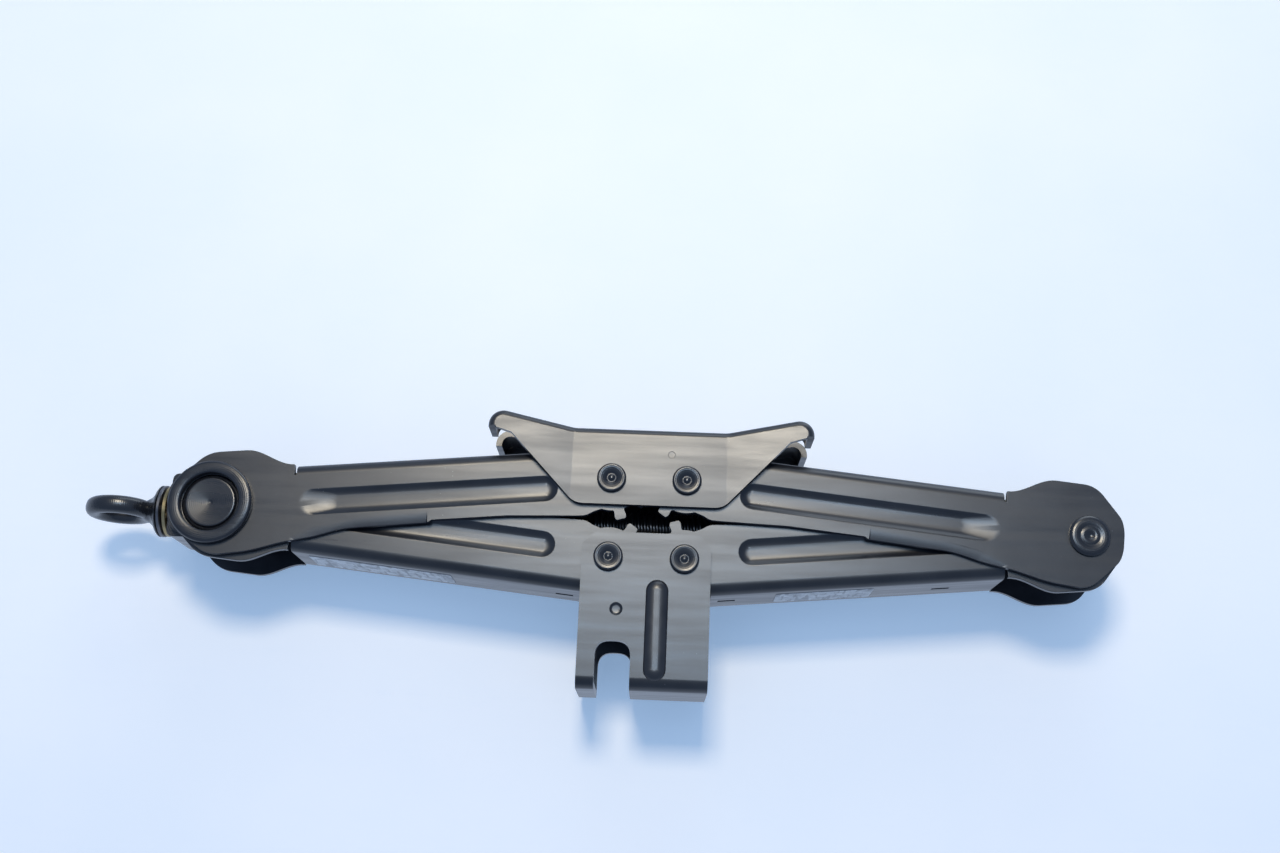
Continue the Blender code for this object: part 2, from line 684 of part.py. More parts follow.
def make_crank_eye():
    """A flat-sided ring for the crank's hook, on a neck that flares to a thrust flange."""
    x, y, z = spindle_place()
    half = EYE_THICKNESS / 2
    bar = []
    middle = (EYE_HOLE_RADIUS + EYE_OUTER_RADIUS) / 2
    width = (EYE_OUTER_RADIUS - EYE_HOLE_RADIUS) / 2
    for k in range(10):
        turn = 2 * math.pi * k / 10
        bar.append((half * math.sin(turn), middle + width * math.cos(turn)))
    bm = bmesh.new()
    add_turned(bm, bar, "Z", (x + EYE_CENTRE, y, z), 28)
    eye = add_object("crank_eye", bm, TURNED_BLACK, spindle_place(), True, 0.3)
    face = BLOCK_FROM - 4 * GAP - 2 * WASHER_THICKNESS - 2 * BALL_RADIUS - 0.1
    neck = [(face - 8.3, 0), (face - 8.3, 2.6), (face - 6.3, 4.3), (face - 4.2, 5.5),
            (face - 2.4, 7.4), (face - 1.0, 9.8), (face - 0.4, WASHER_OUTER), (face, WASHER_OUTER),
            (face, 0)]
    flare = bmesh.new()
    add_solid_turned(flare, neck, "X", spindle_place(), 20)
    combine(eye, add_cutter("eye_neck", flare), "UNION")
    depth = SPINDLE_TIP - GAP
    socket = cylinder_cutter("eye_socket", "X", spindle_place(), TIP_SHANK_RADIUS + GAP, depth, 0, 16)
    combine(eye, socket, "DIFFERENCE")
    combine(eye, eye_pin_hole("eye_pin_hole"), "DIFFERENCE")


def make_eye_pin():
    x, y, z = spindle_place()
    reach = 6.6
    radius = EYE_PIN_RADIUS
    profile = [(-reach, 0), (-reach, radius - 0.3), (0.3 - reach, radius), (reach - 0.3, radius),
               (reach, radius - 0.3), (reach, 0)]
    bm = bmesh.new()
    add_solid_turned(bm, profile, "Z", (x + EYE_PIN_X, y, z), 10)
    add_object("eye_pin", bm, PIN_GREY, spindle_place(), smooth=True)


def make_end_stop():
    """The collar at the thread's end that keeps the nut on."""
    start = 2 * TRUNNION_X + NUT_RADIUS + 0.5
    end = start + END_STOP_LENGTH
    hole = END_NECK_RADIUS + GAP
    profile = [(start, hole), (end, hole), (end, END_STOP_RADIUS - 0.4),
               (end - 0.4, END_STOP_RADIUS), (start, END_STOP_RADIUS)]
    bm = bmesh.new()
    add_turned(bm, profile, "X", spindle_place(), 20)
    add_object("end_stop", bm, SCREW_BLACK, spindle_place(), smooth=True)


def make_bearing():
    """Washer, cage and washer, from the block's face outwards, each a gap apart."""
    inner = BLOCK_FROM - GAP - WASHER_THICKNESS
    cage = inner - GAP - BALL_RADIUS
    outer = cage - BALL_RADIUS - GAP - WASHER_THICKNESS
    make_washer("inner_thrust_washer", inner)
    make_ball_cage(cage)
    make_washer("outer_thrust_washer", outer)


def main():
    clear_scene()
    make_foot()
    make_saddle_head()
    make_arm("lower_left_arm", LEFT, LOWER)
    make_arm("lower_right_arm", RIGHT, LOWER)
    make_arm("upper_left_arm", LEFT, UPPER)
    make_arm("upper_right_arm", RIGHT, UPPER)
    for side, word in ((LEFT, "left"), (RIGHT, "right")):
        make_rivet("foot_pin_" + word, side, FOOT_PIVOT_Z, FOOT_HALF_WIDTH)
        make_rivet("head_pin_" + word, side, HEAD_PIVOT_Z, HEAD_HALF_WIDTH)
    make_thrust_trunnion()
    make_trunnion_ring("trunnion_ring_front", -1)
    make_trunnion_ring("trunnion_ring_rear", 1)
    make_nut_trunnion()
    make_spindle()
    make_bearing()
    make_crank_eye()
    make_eye_pin()
    make_end_stop()


main()
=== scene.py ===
import json
import math

import bmesh
import bpy
from mathutils import Matrix, Vector


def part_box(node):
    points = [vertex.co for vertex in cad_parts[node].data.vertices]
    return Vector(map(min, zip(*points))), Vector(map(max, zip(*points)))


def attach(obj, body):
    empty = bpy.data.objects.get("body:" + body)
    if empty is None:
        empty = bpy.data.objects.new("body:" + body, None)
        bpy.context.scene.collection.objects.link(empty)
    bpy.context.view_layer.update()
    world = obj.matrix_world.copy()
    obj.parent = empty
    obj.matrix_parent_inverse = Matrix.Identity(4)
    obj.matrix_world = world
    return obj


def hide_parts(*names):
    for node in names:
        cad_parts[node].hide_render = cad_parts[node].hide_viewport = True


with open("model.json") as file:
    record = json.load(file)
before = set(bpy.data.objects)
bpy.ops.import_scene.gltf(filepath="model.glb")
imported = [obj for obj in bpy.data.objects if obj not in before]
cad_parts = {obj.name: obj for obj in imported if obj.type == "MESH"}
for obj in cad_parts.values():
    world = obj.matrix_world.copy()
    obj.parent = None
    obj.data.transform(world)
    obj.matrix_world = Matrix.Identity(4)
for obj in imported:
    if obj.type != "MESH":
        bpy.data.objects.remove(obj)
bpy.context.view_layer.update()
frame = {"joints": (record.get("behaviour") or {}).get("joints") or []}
mm = 0.001

# pivots in millimetres, as the frame's joints give them
pivot = {joint["name"]: Vector(joint["pos_m"]) / mm for joint in frame["joints"]}
footPivot = pivot["lower_left_hinge"]
headPivot = pivot["head_hinge"]
leftTrunnion = pivot["thrust_block_hinge"]
rightTrunnion = pivot["nut_block_hinge"]
armLength = (leftTrunnion - footPivot).length
restAngle = math.atan2(leftTrunnion.z - footPivot.z, footPivot.x - leftTrunnion.x)
gearRadius = -footPivot.x
pieceGap = 0.3          # room left between neighbouring pieces
rivetHole = 4.5         # radius in the arms, the foot and the saddle
cutReach = 40           # drills reach this far each way


def nodeBox(name):
    low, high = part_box(name)
    return low / mm, high / mm


armFace = nodeBox("upper_left_arm")[1].y      # the arms' outer faces, from the middle


def nodeMaterial(name):
    material = bpy.data.materials.new(name)
    material.use_nodes = True
    tree = material.node_tree
    shader = tree.nodes["Principled BSDF"]
    place = tree.nodes.new("ShaderNodeTexCoord")
    return material, tree, shader, place.outputs["Object"]


def stretched(tree, place, scale, turn=(0, 0, 0)):
    node = tree.nodes.new("ShaderNodeMapping")
    node.inputs["Scale"].default_value = scale
    node.inputs["Rotation"].default_value = turn
    tree.links.new(place, node.inputs["Vector"])
    return node.outputs["Vector"]


def noiseOf(tree, place, scale, detail=4, rough=0.55):
    node = tree.nodes.new("ShaderNodeTexNoise")
    node.inputs["Scale"].default_value = scale
    node.inputs["Detail"].default_value = detail
    node.inputs["Roughness"].default_value = rough
    tree.links.new(place, node.inputs["Vector"])
    return node.outputs["Fac"]


def ramp(tree, value, stops):
    node = tree.nodes.new("ShaderNodeValToRGB")
    bar = node.color_ramp
    while len(bar.elements) < len(stops):
        bar.elements.new(0.5)
    for element, (where, colour) in zip(bar.elements, stops):
        element.position = where
        element.color = (*colour, 1) if len(colour) == 3 else colour
    tree.links.new(value, node.inputs["Fac"])
    return node.outputs["Color"]


def mapped(tree, value, low, high, start=0.3, end=0.7):
    node = tree.nodes.new("ShaderNodeMapRange")
    node.inputs["From Min"].default_value = start
    node.inputs["From Max"].default_value = end
    node.inputs["To Min"].default_value = low
    node.inputs["To Max"].default_value = high
    tree.links.new(value, node.inputs["Value"])
    return node.outputs["Result"]


def mixed(tree, factor, first, second, kind="MIX"):
    node = tree.nodes.new("ShaderNodeMix")
    node.data_type = "RGBA"
    node.blend_type = kind
    tree.links.new(factor, node.inputs["Factor"])
    for socket, value in ((node.inputs["A"], first), (node.inputs["B"], second)):
        if isinstance(value, tuple):
            socket.default_value = (*value, 1)
        else:
            tree.links.new(value, socket)
    return node.outputs["Result"]


def bumped(tree, shader, height, strength, distance, before=None):
    node = tree.nodes.new("ShaderNodeBump")
    node.inputs["Strength"].default_value = strength
    node.inputs["Distance"].default_value = distance
    tree.links.new(height, node.inputs["Height"])
    if before is not None:
        tree.links.new(before, node.inputs["Normal"])
    tree.links.new(node.outputs["Normal"], shader.inputs["Normal"])
    return node.outputs["Normal"]


coatLook = {
    "deep": (0.010, 0.0115, 0.016),
    "worn": (0.022, 0.025, 0.032),
    "dust": (0.16, 0.17, 0.18),
    "glossLow": 0.27,
    "glossHigh": 0.43,
    "peel": 0.06,        # how strongly the dip coat's orange peel shows
    "streak": 0.10,
}


def blackCoat(name, look=coatLook, turned=False):
    # semi-gloss dip coat with cloudy colour, rubbed streaks, dust specks and fine orange peel
    material, tree, shader, place = nodeMaterial(name)
    cloud = noiseOf(tree, place, 55, 5)
    base = ramp(tree, cloud, [(0.32, look["deep"]), (0.72, look["worn"])])
    streakSpace = stretched(tree, place, (14, 300, 190), (0, 0.35, 0))
    streak = noiseOf(tree, streakSpace, 1.0, 3)
    specks = tree.nodes.new("ShaderNodeTexVoronoi")
    specks.inputs["Scale"].default_value = 320
    tree.links.new(place, specks.inputs["Vector"])
    speckMask = mapped(tree, specks.outputs["Distance"], 0.55, 0.0, 0.03, 0.09)
    patches = noiseOf(tree, place, 30, 3)
    patchMask = mapped(tree, patches, 0.0, 1.0, 0.52, 0.68)
    both = tree.nodes.new("ShaderNodeMath")
    both.operation = "MULTIPLY"
    tree.links.new(speckMask, both.inputs[0])
    tree.links.new(patchMask, both.inputs[1])
    colour = mixed(tree, both.outputs["Value"], base, look["dust"])
    tree.links.new(colour, shader.inputs["Base Color"])
    gloss = mapped(tree, streak, look["glossLow"], look["glossHigh"])
    tree.links.new(gloss, shader.inputs["Roughness"])
    shader.inputs["Specular IOR Level"].default_value = 0.55
    shader.inputs["Coat Weight"].default_value = 0.25
    shader.inputs["Coat Roughness"].default_value = 0.22
    peel = noiseOf(tree, place, 900, 2)
    normal = bumped(tree, shader, peel, look["peel"], 0.00012)
    normal = bumped(tree, shader, streak, look["streak"], 0.00010, normal)
    if turned:
        rings = tree.nodes.new("ShaderNodeTexWave")
        rings.wave_type = "RINGS"
        rings.rings_direction = "Y"
        rings.inputs["Scale"].default_value = 420
        rings.inputs["Distortion"].default_value = 0.6
        rings.inputs["Detail"].default_value = 2
        tree.links.new(place, rings.inputs["Vector"])
        bumped(tree, shader, rings.outputs["Fac"], 0.22, 0.00010, normal)
    return material


screwLook = {"dark": (0.030, 0.030, 0.033), "light": (0.085, 0.082, 0.080), "metal": 0.75}


def darkScrew(name, look=screwLook):
    # rolled thread, dark with a film of old grease
    material, tree, shader, place = nodeMaterial(name)
    film = noiseOf(tree, place, 90, 5)
    colour = ramp(tree, film, [(0.35, look["dark"]), (0.70, look["light"])])
    tree.links.new(colour, shader.inputs["Base Color"])
    gloss = mapped(tree, film, 0.42, 0.24)
    tree.links.new(gloss, shader.inputs["Roughness"])
    shader.inputs["Metallic"].default_value = look["metal"]
    rolled = noiseOf(tree, stretched(tree, place, (900, 60, 60)), 1.0, 3)
    bumped(tree, shader, rolled, 0.10, 0.00010)
    return material


def turnedSteel(name, dark, light, metal=0.9):
    material, tree, shader, place = nodeMaterial(name)
    wear = noiseOf(tree, place, 160, 4)
    colour = ramp(tree, wear, [(0.3, dark), (0.75, light)])
    tree.links.new(colour, shader.inputs["Base Color"])
    gloss = mapped(tree, wear, 0.24, 0.42)
    tree.links.new(gloss, shader.inputs["Roughness"])
    shader.inputs["Metallic"].default_value = metal
    rings = tree.nodes.new("ShaderNodeTexWave")
    rings.wave_type = "RINGS"
    rings.rings_direction = "X"
    rings.inputs["Scale"].default_value = 500
    tree.links.new(place, rings.inputs["Vector"])
    bumped(tree, shader, rings.outputs["Fac"], 0.15, 0.00008)
    return material


paperLook = {"dull": (0.30, 0.32, 0.34), "pale": (0.62, 0.66, 0.68), "band": (0.13, 0.14, 0.16)}


def stickerPaper(name, look=paperLook):
    # plain pale strip, scuffed, with faint bands where printing would be
    material, tree, shader, place = nodeMaterial(name)
    scuff = noiseOf(tree, place, 240, 5, 0.7)
    paper = ramp(tree, scuff, [(0.35, look["dull"]), (0.62, look["pale"])])
    bands = noiseOf(tree, stretched(tree, place, (500, 90, 90)), 1.0, 2)
    ink = mapped(tree, bands, 0.0, 0.55, 0.52, 0.60)
    colour = mixed(tree, ink, paper, look["band"])
    tree.links.new(colour, shader.inputs["Base Color"])
    shader.inputs["Roughness"].default_value = 0.45
    bumped(tree, shader, scuff, 0.12, 0.00010)
    return material


sheetCoat = blackCoat("black_sheet_coat")
turnedCoat = blackCoat("black_turned_coat", {**coatLook, "glossLow": 0.20, "glossHigh": 0.34}, turned=True)
screwFinish = darkScrew("greased_screw")
washerFinish = turnedSteel("washer_steel", (0.10, 0.10, 0.11), (0.24, 0.24, 0.25))
cageFinish = turnedSteel("bearing_cage", (0.30, 0.23, 0.11), (0.50, 0.40, 0.22))
stickerFinish = stickerPaper("sticker_paper")
print("materials made")


# from here on, shapes are built in millimetres, and toObject turns them into metres

def arc(centre, radius, start, end, steps):
    points = []
    for i in range(steps + 1):
        angle = math.radians(start + (end - start) * i / steps)
        points.append((centre[0] + radius * math.cos(angle), centre[1] + radius * math.sin(angle)))
    return points


def rounded(points, radius, steps=6):
    result = []
    for i, point in enumerate(points):
        corner = Vector(point)
        before = Vector(points[i - 1]) - corner
        after = Vector(points[(i + 1) % len(points)]) - corner
        reach = min(radius, 0.45 * before.length, 0.45 * after.length)
        start = corner + before.normalized() * reach
        end = corner + after.normalized() * reach
        for k in range(steps + 1):
            t = k / steps
            spot = start * (1 - t) ** 2 + corner * 2 * t * (1 - t) + end * t ** 2
            result.append((spot.x, spot.y))
    return result


def distinct(points, least=0.02):
    return [p for i, p in enumerate(points) if math.dist(p, points[i - 1]) > least]


def toObject(name, bm, origin=(0, 0, 0)):
    bmesh.ops.recalc_face_normals(bm, faces=bm.faces)
    shift = Vector(origin)
    for vert in bm.verts:
        vert.co = (vert.co - shift) * mm
    mesh = bpy.data.meshes.new(name)
    bm.to_mesh(mesh)
    bm.free()
    made = bpy.data.objects.new(name, mesh)
    made.location = shift * mm
    bpy.context.scene.collection.objects.link(made)
    return made


def addLoft(bm, outlines):
    # a closed solid through outlines of (points in X and Z, place along Y)
    rings = [[bm.verts.new((x, y, z)) for x, z in points] for points, y in outlines]
    bm.faces.new(rings[0])
    bm.faces.new(list(reversed(rings[-1])))
    for ring, following in zip(rings, rings[1:]):
        for i in range(len(ring)):
            j = (i + 1) % len(ring)
            bm.faces.new((ring[i], following[i], following[j], ring[j]))


def addTurned(bm, profile, axis, centre, steps=64, closed=False):
    # spins (place along the axis, radius); an open profile starts and ends on the axis
    rings = []
    for along, radius in profile:
        ring = []
        for k in range(steps if radius > 0 else 1):
            angle = 2 * math.pi * k / steps
            across = (radius * math.cos(angle), radius * math.sin(angle))
            place = {"X": (along, *across), "Y": (across[0], along, across[1]), "Z": (*across, along)}
            ring.append(bm.verts.new(Vector(place[axis]) + Vector(centre)))
        rings.append(ring)
    pairs = list(zip(rings, rings[1:]))
    if closed:
        pairs.append((rings[-1], rings[0]))
    for ring, following in pairs:
        for k in range(steps):
            n = (k + 1) % steps
            corners = [ring[k % len(ring)], ring[n % len(ring)]]
            corners += [following[n % len(following)], following[k % len(following)]]
            bm.faces.new(list(dict.fromkeys(corners)))


def addDrill(bm, axis, centre, radius, steps=40, reach=cutReach):
    addTurned(bm, [(-reach, 0), (-reach, radius), (reach, radius), (reach, 0)], axis, centre, steps)


def combine(target, bm, operation="DIFFERENCE"):
    other = toObject(target.name + "_tool", bm)
    modifier = target.modifiers.new("cut", "BOOLEAN")
    modifier.solver = "EXACT"
    modifier.operation = operation
    modifier.object = other
    settle(target)
    bpy.data.objects.remove(other)


def settle(target):
    # keeps the mesh as its modifiers leave it
    graph = bpy.context.evaluated_depsgraph_get()
    mesh = bpy.data.meshes.new_from_object(target.evaluated_get(graph))
    target.modifiers.clear()
    target.data = mesh


def sheetThickness(target, thickness):
    modifier = target.modifiers.new("sheet", "SOLIDIFY")
    modifier.thickness = thickness * mm
    modifier.offset = 0.0
    modifier.use_even_offset = True
    settle(target)


def softenEdges(target, width=0.35, segments=2, angle=28):
    cleaner = bmesh.new()
    cleaner.from_mesh(target.data)
    bmesh.ops.remove_doubles(cleaner, verts=cleaner.verts, dist=0.00001)
    bmesh.ops.dissolve_limit(cleaner, angle_limit=math.radians(0.6), verts=cleaner.verts,
                             edges=cleaner.edges)
    cleaner.to_mesh(target.data)
    cleaner.free()
    target.data.shade_smooth()
    bevel = target.modifiers.new("edges", "BEVEL")
    bevel.width = width * mm
    bevel.segments = segments
    bevel.limit_method = "ANGLE"
    bevel.angle_limit = math.radians(angle)
    bevel.harden_normals = True
    normals = target.modifiers.new("normals", "WEIGHTED_NORMAL")
    normals.keep_sharp = True


def finishPiece(piece, body, node, material, sharp=None):
    piece.data.materials.clear()
    piece.data.materials.append(material)
    if sharp is not None:
        piece.data.shade_smooth()
        piece.data.set_sharp_from_angle(angle=math.radians(sharp))
    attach(piece, body)
    if node:
        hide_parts(node)
    return piece


armShape = {
    "sheet": 2.5,
    "webTop": 14.0,          # the web's outer face above the pivot line
    "webStart": 34.0,        # from the trunnion
    "webEnd": 9.5,           # short of the gear pivot
    "bend": 4.5,
    "relief": 0.8,
    "bossHalf": 21.0,
    "bossReach": {"left": 17.6, "right": 13.8},
    "grooveStart": 34.5,
    "grooveEnd": 21.5,       # short of the gear pivot
    "grooveMiddle": -2.0,
    "grooveHalf": 5.5,
    "grooveDepth": 1.5,
    "grooveSteps": [(0, 1), (0.16, 0.90), (0.52, 0.78), (0.82, 0.62), (0.96, 0.44), (1, 0.2)],
    "lipDepth": 0.8,
    "trunnionHole": {"left": 11.6, "right": 7.3},
    "bossLow": [(16.0, -20.2), (28.0, -17.6), (41.0, -16.0), (48.0, -14.4), (54.0, -13.4)],
    "step": [(86.0, -13.0), (86.6, -12.9), (87.4, -12.3), (88.0, -12.2)],
    "gearLobe": [(42.0, -12.2), (26.0, -13.2), (15.0, -13.9), (12.0, -14.0), (10.4, -13.7), (8.0, -12.6)],
    "lipRim": [(31.0, -15.5), (40.0, -12.0), (56.0, -9.7), (85.8, -9.2)],
    "lipLow": [(37.0, -19.0), (44.0, -16.6), (57.0, -13.5), (85.4, -13.2)],
    "slotLength": 7.0,
    "slotWidth": 2.4,
}
gearShape = {
    "teeth": 9,
    "perArm": 3,
    "tip": 16.6,
    "root": 12.6,
    "backlash": 0.24,
    "rollTurn": 15.9,        # how far the tip's cycloid rolls, in degrees
    "rim": (-112.0, 70.0),   # where the gear's rim starts and ends
}


def armPlace(side, level, u, w):
    run = Vector((-side * math.cos(restAngle), level * math.sin(restAngle)))
    web = Vector((side * math.sin(restAngle), level * math.cos(restAngle)))
    spot = Vector((side * rightTrunnion.x, rightTrunnion.z)) + run * u + web * w
    return spot.x, spot.y


def gearEnd(firstTooth):
    # radial roots and cycloid tips, so that the teeth roll on each other
    g = gearShape
    rolling = gearRadius / 2
    reach = gearRadius + rolling
    half = 90 / g["teeth"] - math.degrees(g["backlash"] / gearRadius)
    flank = [(g["root"], half + 2.2), (g["root"] + 0.35, half + 0.7), (g["root"] + 0.9, half)]
    flank.append((gearRadius, half))
    for k in range(1, 6):
        turn = math.radians(g["rollTurn"]) * k / 5
        x = reach * math.cos(turn) - rolling * math.cos(turn * reach / rolling)
        z = reach * math.sin(turn) - rolling * math.sin(turn * reach / rolling)
        flank.append((math.hypot(x, z), half - math.degrees(math.atan2(z, x))))
    top = flank.pop()
    flank += [(top[0] - 0.15, top[1] - 0.2), (g["tip"], top[1] - 1.6)]
    centre = (armLength, 0)
    points = []
    before = g["rim"][0]
    for k in reversed(range(g["perArm"])):
        middle = firstTooth - k * 360 / g["teeth"]
        points += arc(centre, g["root"], before, middle - flank[0][1], 6)
        sides = [(r, -a) for r, a in flank] + [(r, a) for r, a in reversed(flank)]
        points += [arc(centre, radius, middle + angle, middle, 1)[0] for radius, angle in sides]
        before = middle + flank[0][1]
    return points + arc(centre, g["root"], before, g["rim"][1], 10)


def bossEnd(reach):
    s = armShape
    high = s["bossHalf"]
    slopeEnd = s["webStart"] - s["relief"]
    points = []
    for k in range(13):
        t = k / 12
        w = s["webTop"] + (high - s["webTop"]) * (1 - math.cos(math.pi * t)) / 2
        points.append((slopeEnd + (14.0 - slopeEnd) * t, w))
    corner = reach - 1.2
    octagon = [(-1.5, high), (-corner, high - 12.4), (-reach, high - 17.0)]
    octagon += [(-reach, 17.0 - high), (-corner, 12.4 - high), (-1.5, -high)]
    points += rounded([(14.0, high)] + octagon + [(14.0, -high)], 5.0, 7)[8:-8]
    points += rounded([(8.0, -high)] + s["bossLow"] + [(70.0, -13.2)], 5.0, 4)[5:-5]
    return points + s["step"]


def flangeOutline(firstTooth, reach):
    s = armShape
    bendStart = s["webTop"] - s["bend"]
    webEnd = armLength - s["webEnd"]
    points = bossEnd(reach)
    points += [(armLength - back, w) for back, w in s["gearLobe"]]
    points += gearEnd(firstTooth)
    points += [(armLength - 5.0, s["webTop"]), (webEnd + s["relief"], s["webTop"])]
    points += [(webEnd + s["relief"], bendStart), (webEnd, bendStart)]
    points += [(s["webStart"], bendStart), (s["webStart"] - s["relief"], bendStart)]
    return distinct(points)


def ringOfEdges(bm, verts):
    edges = []
    for i, vert in enumerate(verts):
        following = verts[(i + 1) % len(verts)]
        edges.append(bm.edges.get((vert, following)) or bm.edges.new((vert, following)))
    return edges


def addFlange(bm, side, level, y, outline, trunnionHole):
    verts = [bm.verts.new((x, y, z)) for x, z in (armPlace(side, level, u, w) for u, w in outline)]
    edges = ringOfEdges(bm, verts)
    for u, radius in ((0.0, trunnionHole), (armLength, rivetHole)):
        circle = arc((u, 0), radius, 0, 352.5, 47)
        hole = [bm.verts.new((x, y, z)) for x, z in (armPlace(side, level, *p) for p in circle)]
        edges += ringOfEdges(bm, hole)
    bmesh.ops.triangle_fill(bm, edges=edges, use_beauty=True)
    return verts[-3], verts[-2]


def addWeb(bm, side, level, middle, leftEdge, rightEdge, steps=8):
    s = armShape
    radius = s["bend"] - s["sheet"] / 2
    section = []
    for k in range(1, steps + 1):
        turn = math.radians(90 * k / steps)
        y = middle - radius + radius * math.cos(turn)
        section.append((y, s["webTop"] - s["bend"] + radius * math.sin(turn)))
    section += [(-y, w) for y, w in reversed(section)]
    rows = [rightEdge]
    for y, w in section:
        ends = (armPlace(side, level, u, w) for u in (armLength - s["webEnd"], s["webStart"]))
        rows.append([bm.verts.new((x, y, z)) for x, z in ends])
    rows.append(leftEdge)
    for row, following in zip(rows, rows[1:]):
        bm.faces.new((row[0], row[1], following[1], following[0]))


def stadium(start, end, middle, half, steps=10):
    points = arc((end - half, middle), half, -90, 90, steps)
    return points + arc((start + half, middle), half, 90, 270, steps)


def grooveTool(side, level, halfWidth):
    # the groove's walls lean, and its floor rises gently towards the trunnion
    s = armShape
    bm = bmesh.new()
    for near in (-1, 1):
        rings = []
        for depth, width in reversed(s["grooveSteps"]):
            half = s["grooveHalf"] * width
            inset = s["grooveHalf"] - half
            start = s["grooveStart"] + inset + 11 * depth
            shape = stadium(start, armLength - s["grooveEnd"] - inset, s["grooveMiddle"], half)
            shape = [armPlace(side, level, *p) for p in shape]
            rings.append((shape, near * (halfWidth - s["grooveDepth"] * depth)))
        rings.append((shape, near * (halfWidth + 1)))
        addLoft(bm, rings)
    return bm


def lipTool(side, level, halfWidth):
    # a bright facet along the free edge, between the boss and the step
    s = armShape
    deep = halfWidth - s["lipDepth"]
    bm = bmesh.new()
    outlines = []
    for edge in (s["lipRim"], s["lipLow"]):
        shape = edge + [(edge[-1][0], -25.0), (edge[0][0], -25.0)]
        outlines.append([armPlace(side, level, *p) for p in shape])
    rim, low = outlines
    for near in (-1, 1):
        addLoft(bm, [(low, near * deep), (rim, near * halfWidth), (rim, near * (halfWidth + 1))])
    return bm


def slotTool(side, level, places):
    s = armShape
    bm = bmesh.new()
    for u in places:
        shape = [(u - s["slotLength"] / 2, 10.0), (u + s["slotLength"] / 2, 10.0)]
        shape += [(u + s["slotLength"] / 2, 16.0), (u - s["slotLength"] / 2, 16.0)]
        shape = [armPlace(side, level, *p) for p in shape]
        addLoft(bm, [(shape, -s["slotWidth"] / 2), (shape, s["slotWidth"] / 2)])
    return bm


def makeArm(node, body, side, level, firstTooth, slots):
    s = armShape
    halfWidth = nodeBox(node)[1].y
    middle = halfWidth - s["sheet"] / 2
    word = "left" if side < 0 else "right"
    outline = flangeOutline(firstTooth, s["bossReach"][word])
    bm = bmesh.new()
    trunnionHole = s["trunnionHole"][word]
    rightEdge = addFlange(bm, side, level, middle, outline, trunnionHole)
    leftEdge = addFlange(bm, side, level, -middle, outline, trunnionHole)
    addWeb(bm, side, level, middle, leftEdge, rightEdge)
    origin = armPlace(side, level, 0, 0)
    piece = toObject(node + "_pressed", bm, (origin[0], 0, origin[1]))
    sheetThickness(piece, s["sheet"])
    combine(piece, grooveTool(side, level, halfWidth))
    combine(piece, lipTool(side, level, halfWidth))
    if slots:
        combine(piece, slotTool(side, level, slots))
    softenEdges(piece, 0.3)
    finishPiece(piece, body, node, sheetCoat)


makeArm("lower_left_arm", "lower_left", -1, -1, 20.0, [armLength - 16.4])
makeArm("lower_right_arm", "lower_right", 1, -1, 0.0, [armLength - 16.4, 57.0])
makeArm("upper_left_arm", "upper_left", -1, 1, 0.0, [])
makeArm("upper_right_arm", "upper_right", 1, 1, 20.0, [])
print("arms made")


# plain strips under the lower arms
stickerShape = {
    "half": 9.0,
    "thick": 0.12,
    "lift": 0.03,
    "endInset": 0.6,
    "rows": 24,
    "left": (40.0, 98.0),
    "right": (85.0, 124.0),
}


def makeSticker(name, body, side, ends):
    s = stickerShape
    start, end = ends
    top = armShape["webTop"]
    bm = bmesh.new()
    rows = []
    for k in range(s["rows"] + 1):
        u = start + (end - start) * k / s["rows"]
        half = s["half"] - (0 if 0 < k < s["rows"] else s["endInset"])
        row = []
        for y, lift in ((-half, 0), (-half, 1), (half, 1), (half, 0)):
            x, z = armPlace(side, -1, u, top + s["lift"] + lift * s["thick"])
            row.append(bm.verts.new((x, y, z)))
        rows.append(row)
    bm.faces.new(rows[0])
    bm.faces.new(list(reversed(rows[-1])))
    for row, following in zip(rows, rows[1:]):
        for i in range(4):
            j = (i + 1) % 4
            bm.faces.new((row[i], row[j], following[j], following[i]))
    piece = toObject(name, bm)
    finishPiece(piece, body, None, stickerFinish, 30)


makeSticker("sticker_left", "lower_left", -1, stickerShape["left"])
makeSticker("sticker_right", "lower_right", 1, stickerShape["right"])
print("stickers made")


footShape = {
    "sheet": 3.0,
    "bend": 4.8,
    "corner": 5.0,
    "notch": (-18.5, -4.7),
    "notchTop": 18.7,
    "notchRound": 6.0,
    "bead": (0.4, 9.2),
    "beadRange": (3.6, 43.0),
    "beadSteps": [(0, 0), (0.45, 0.75), (1.2, 1.35), (2.2, 1.75), (3.2, 1.95), (3.9, 2.0)],
    "dimple": (-11.0, 31.0),
    "dimpleSteps": [(-0.8, 0), (-0.78, 1.5), (-0.55, 2.0), (0, 2.6), (1, 3.1), (1, 0)],
    "edge": 0.55,
}


def addRows(bm, pointRows):
    rows = [[bm.verts.new(point) for point in points] for points in pointRows]
    for row, following in zip(rows, rows[1:]):
        for i in range(len(row) - 1):
            bm.faces.new((row[i], row[i + 1], following[i + 1], following[i]))


def footSheet(endX, topZ, middle):
    # the sheet's middle surface: two sides, two round bends and a flat underside
    s = footShape
    radius = s["bend"] - s["sheet"] / 2
    corner = endX - s["corner"]
    rows = []
    for x in (-endX, -corner, corner, endX):
        points = [(x, middle, topZ - max(0.0, abs(x) - corner))]
        for k in range(11):
            turn = math.radians(9 * k)
            y = middle - radius + radius * math.cos(turn)
            points.append((x, y, s["sheet"] / 2 + radius - radius * math.sin(turn)))
        rows.append(points + [(x, -y, z) for x, y, z in reversed(points)])
    bm = bmesh.new()
    addRows(bm, rows)
    return bm


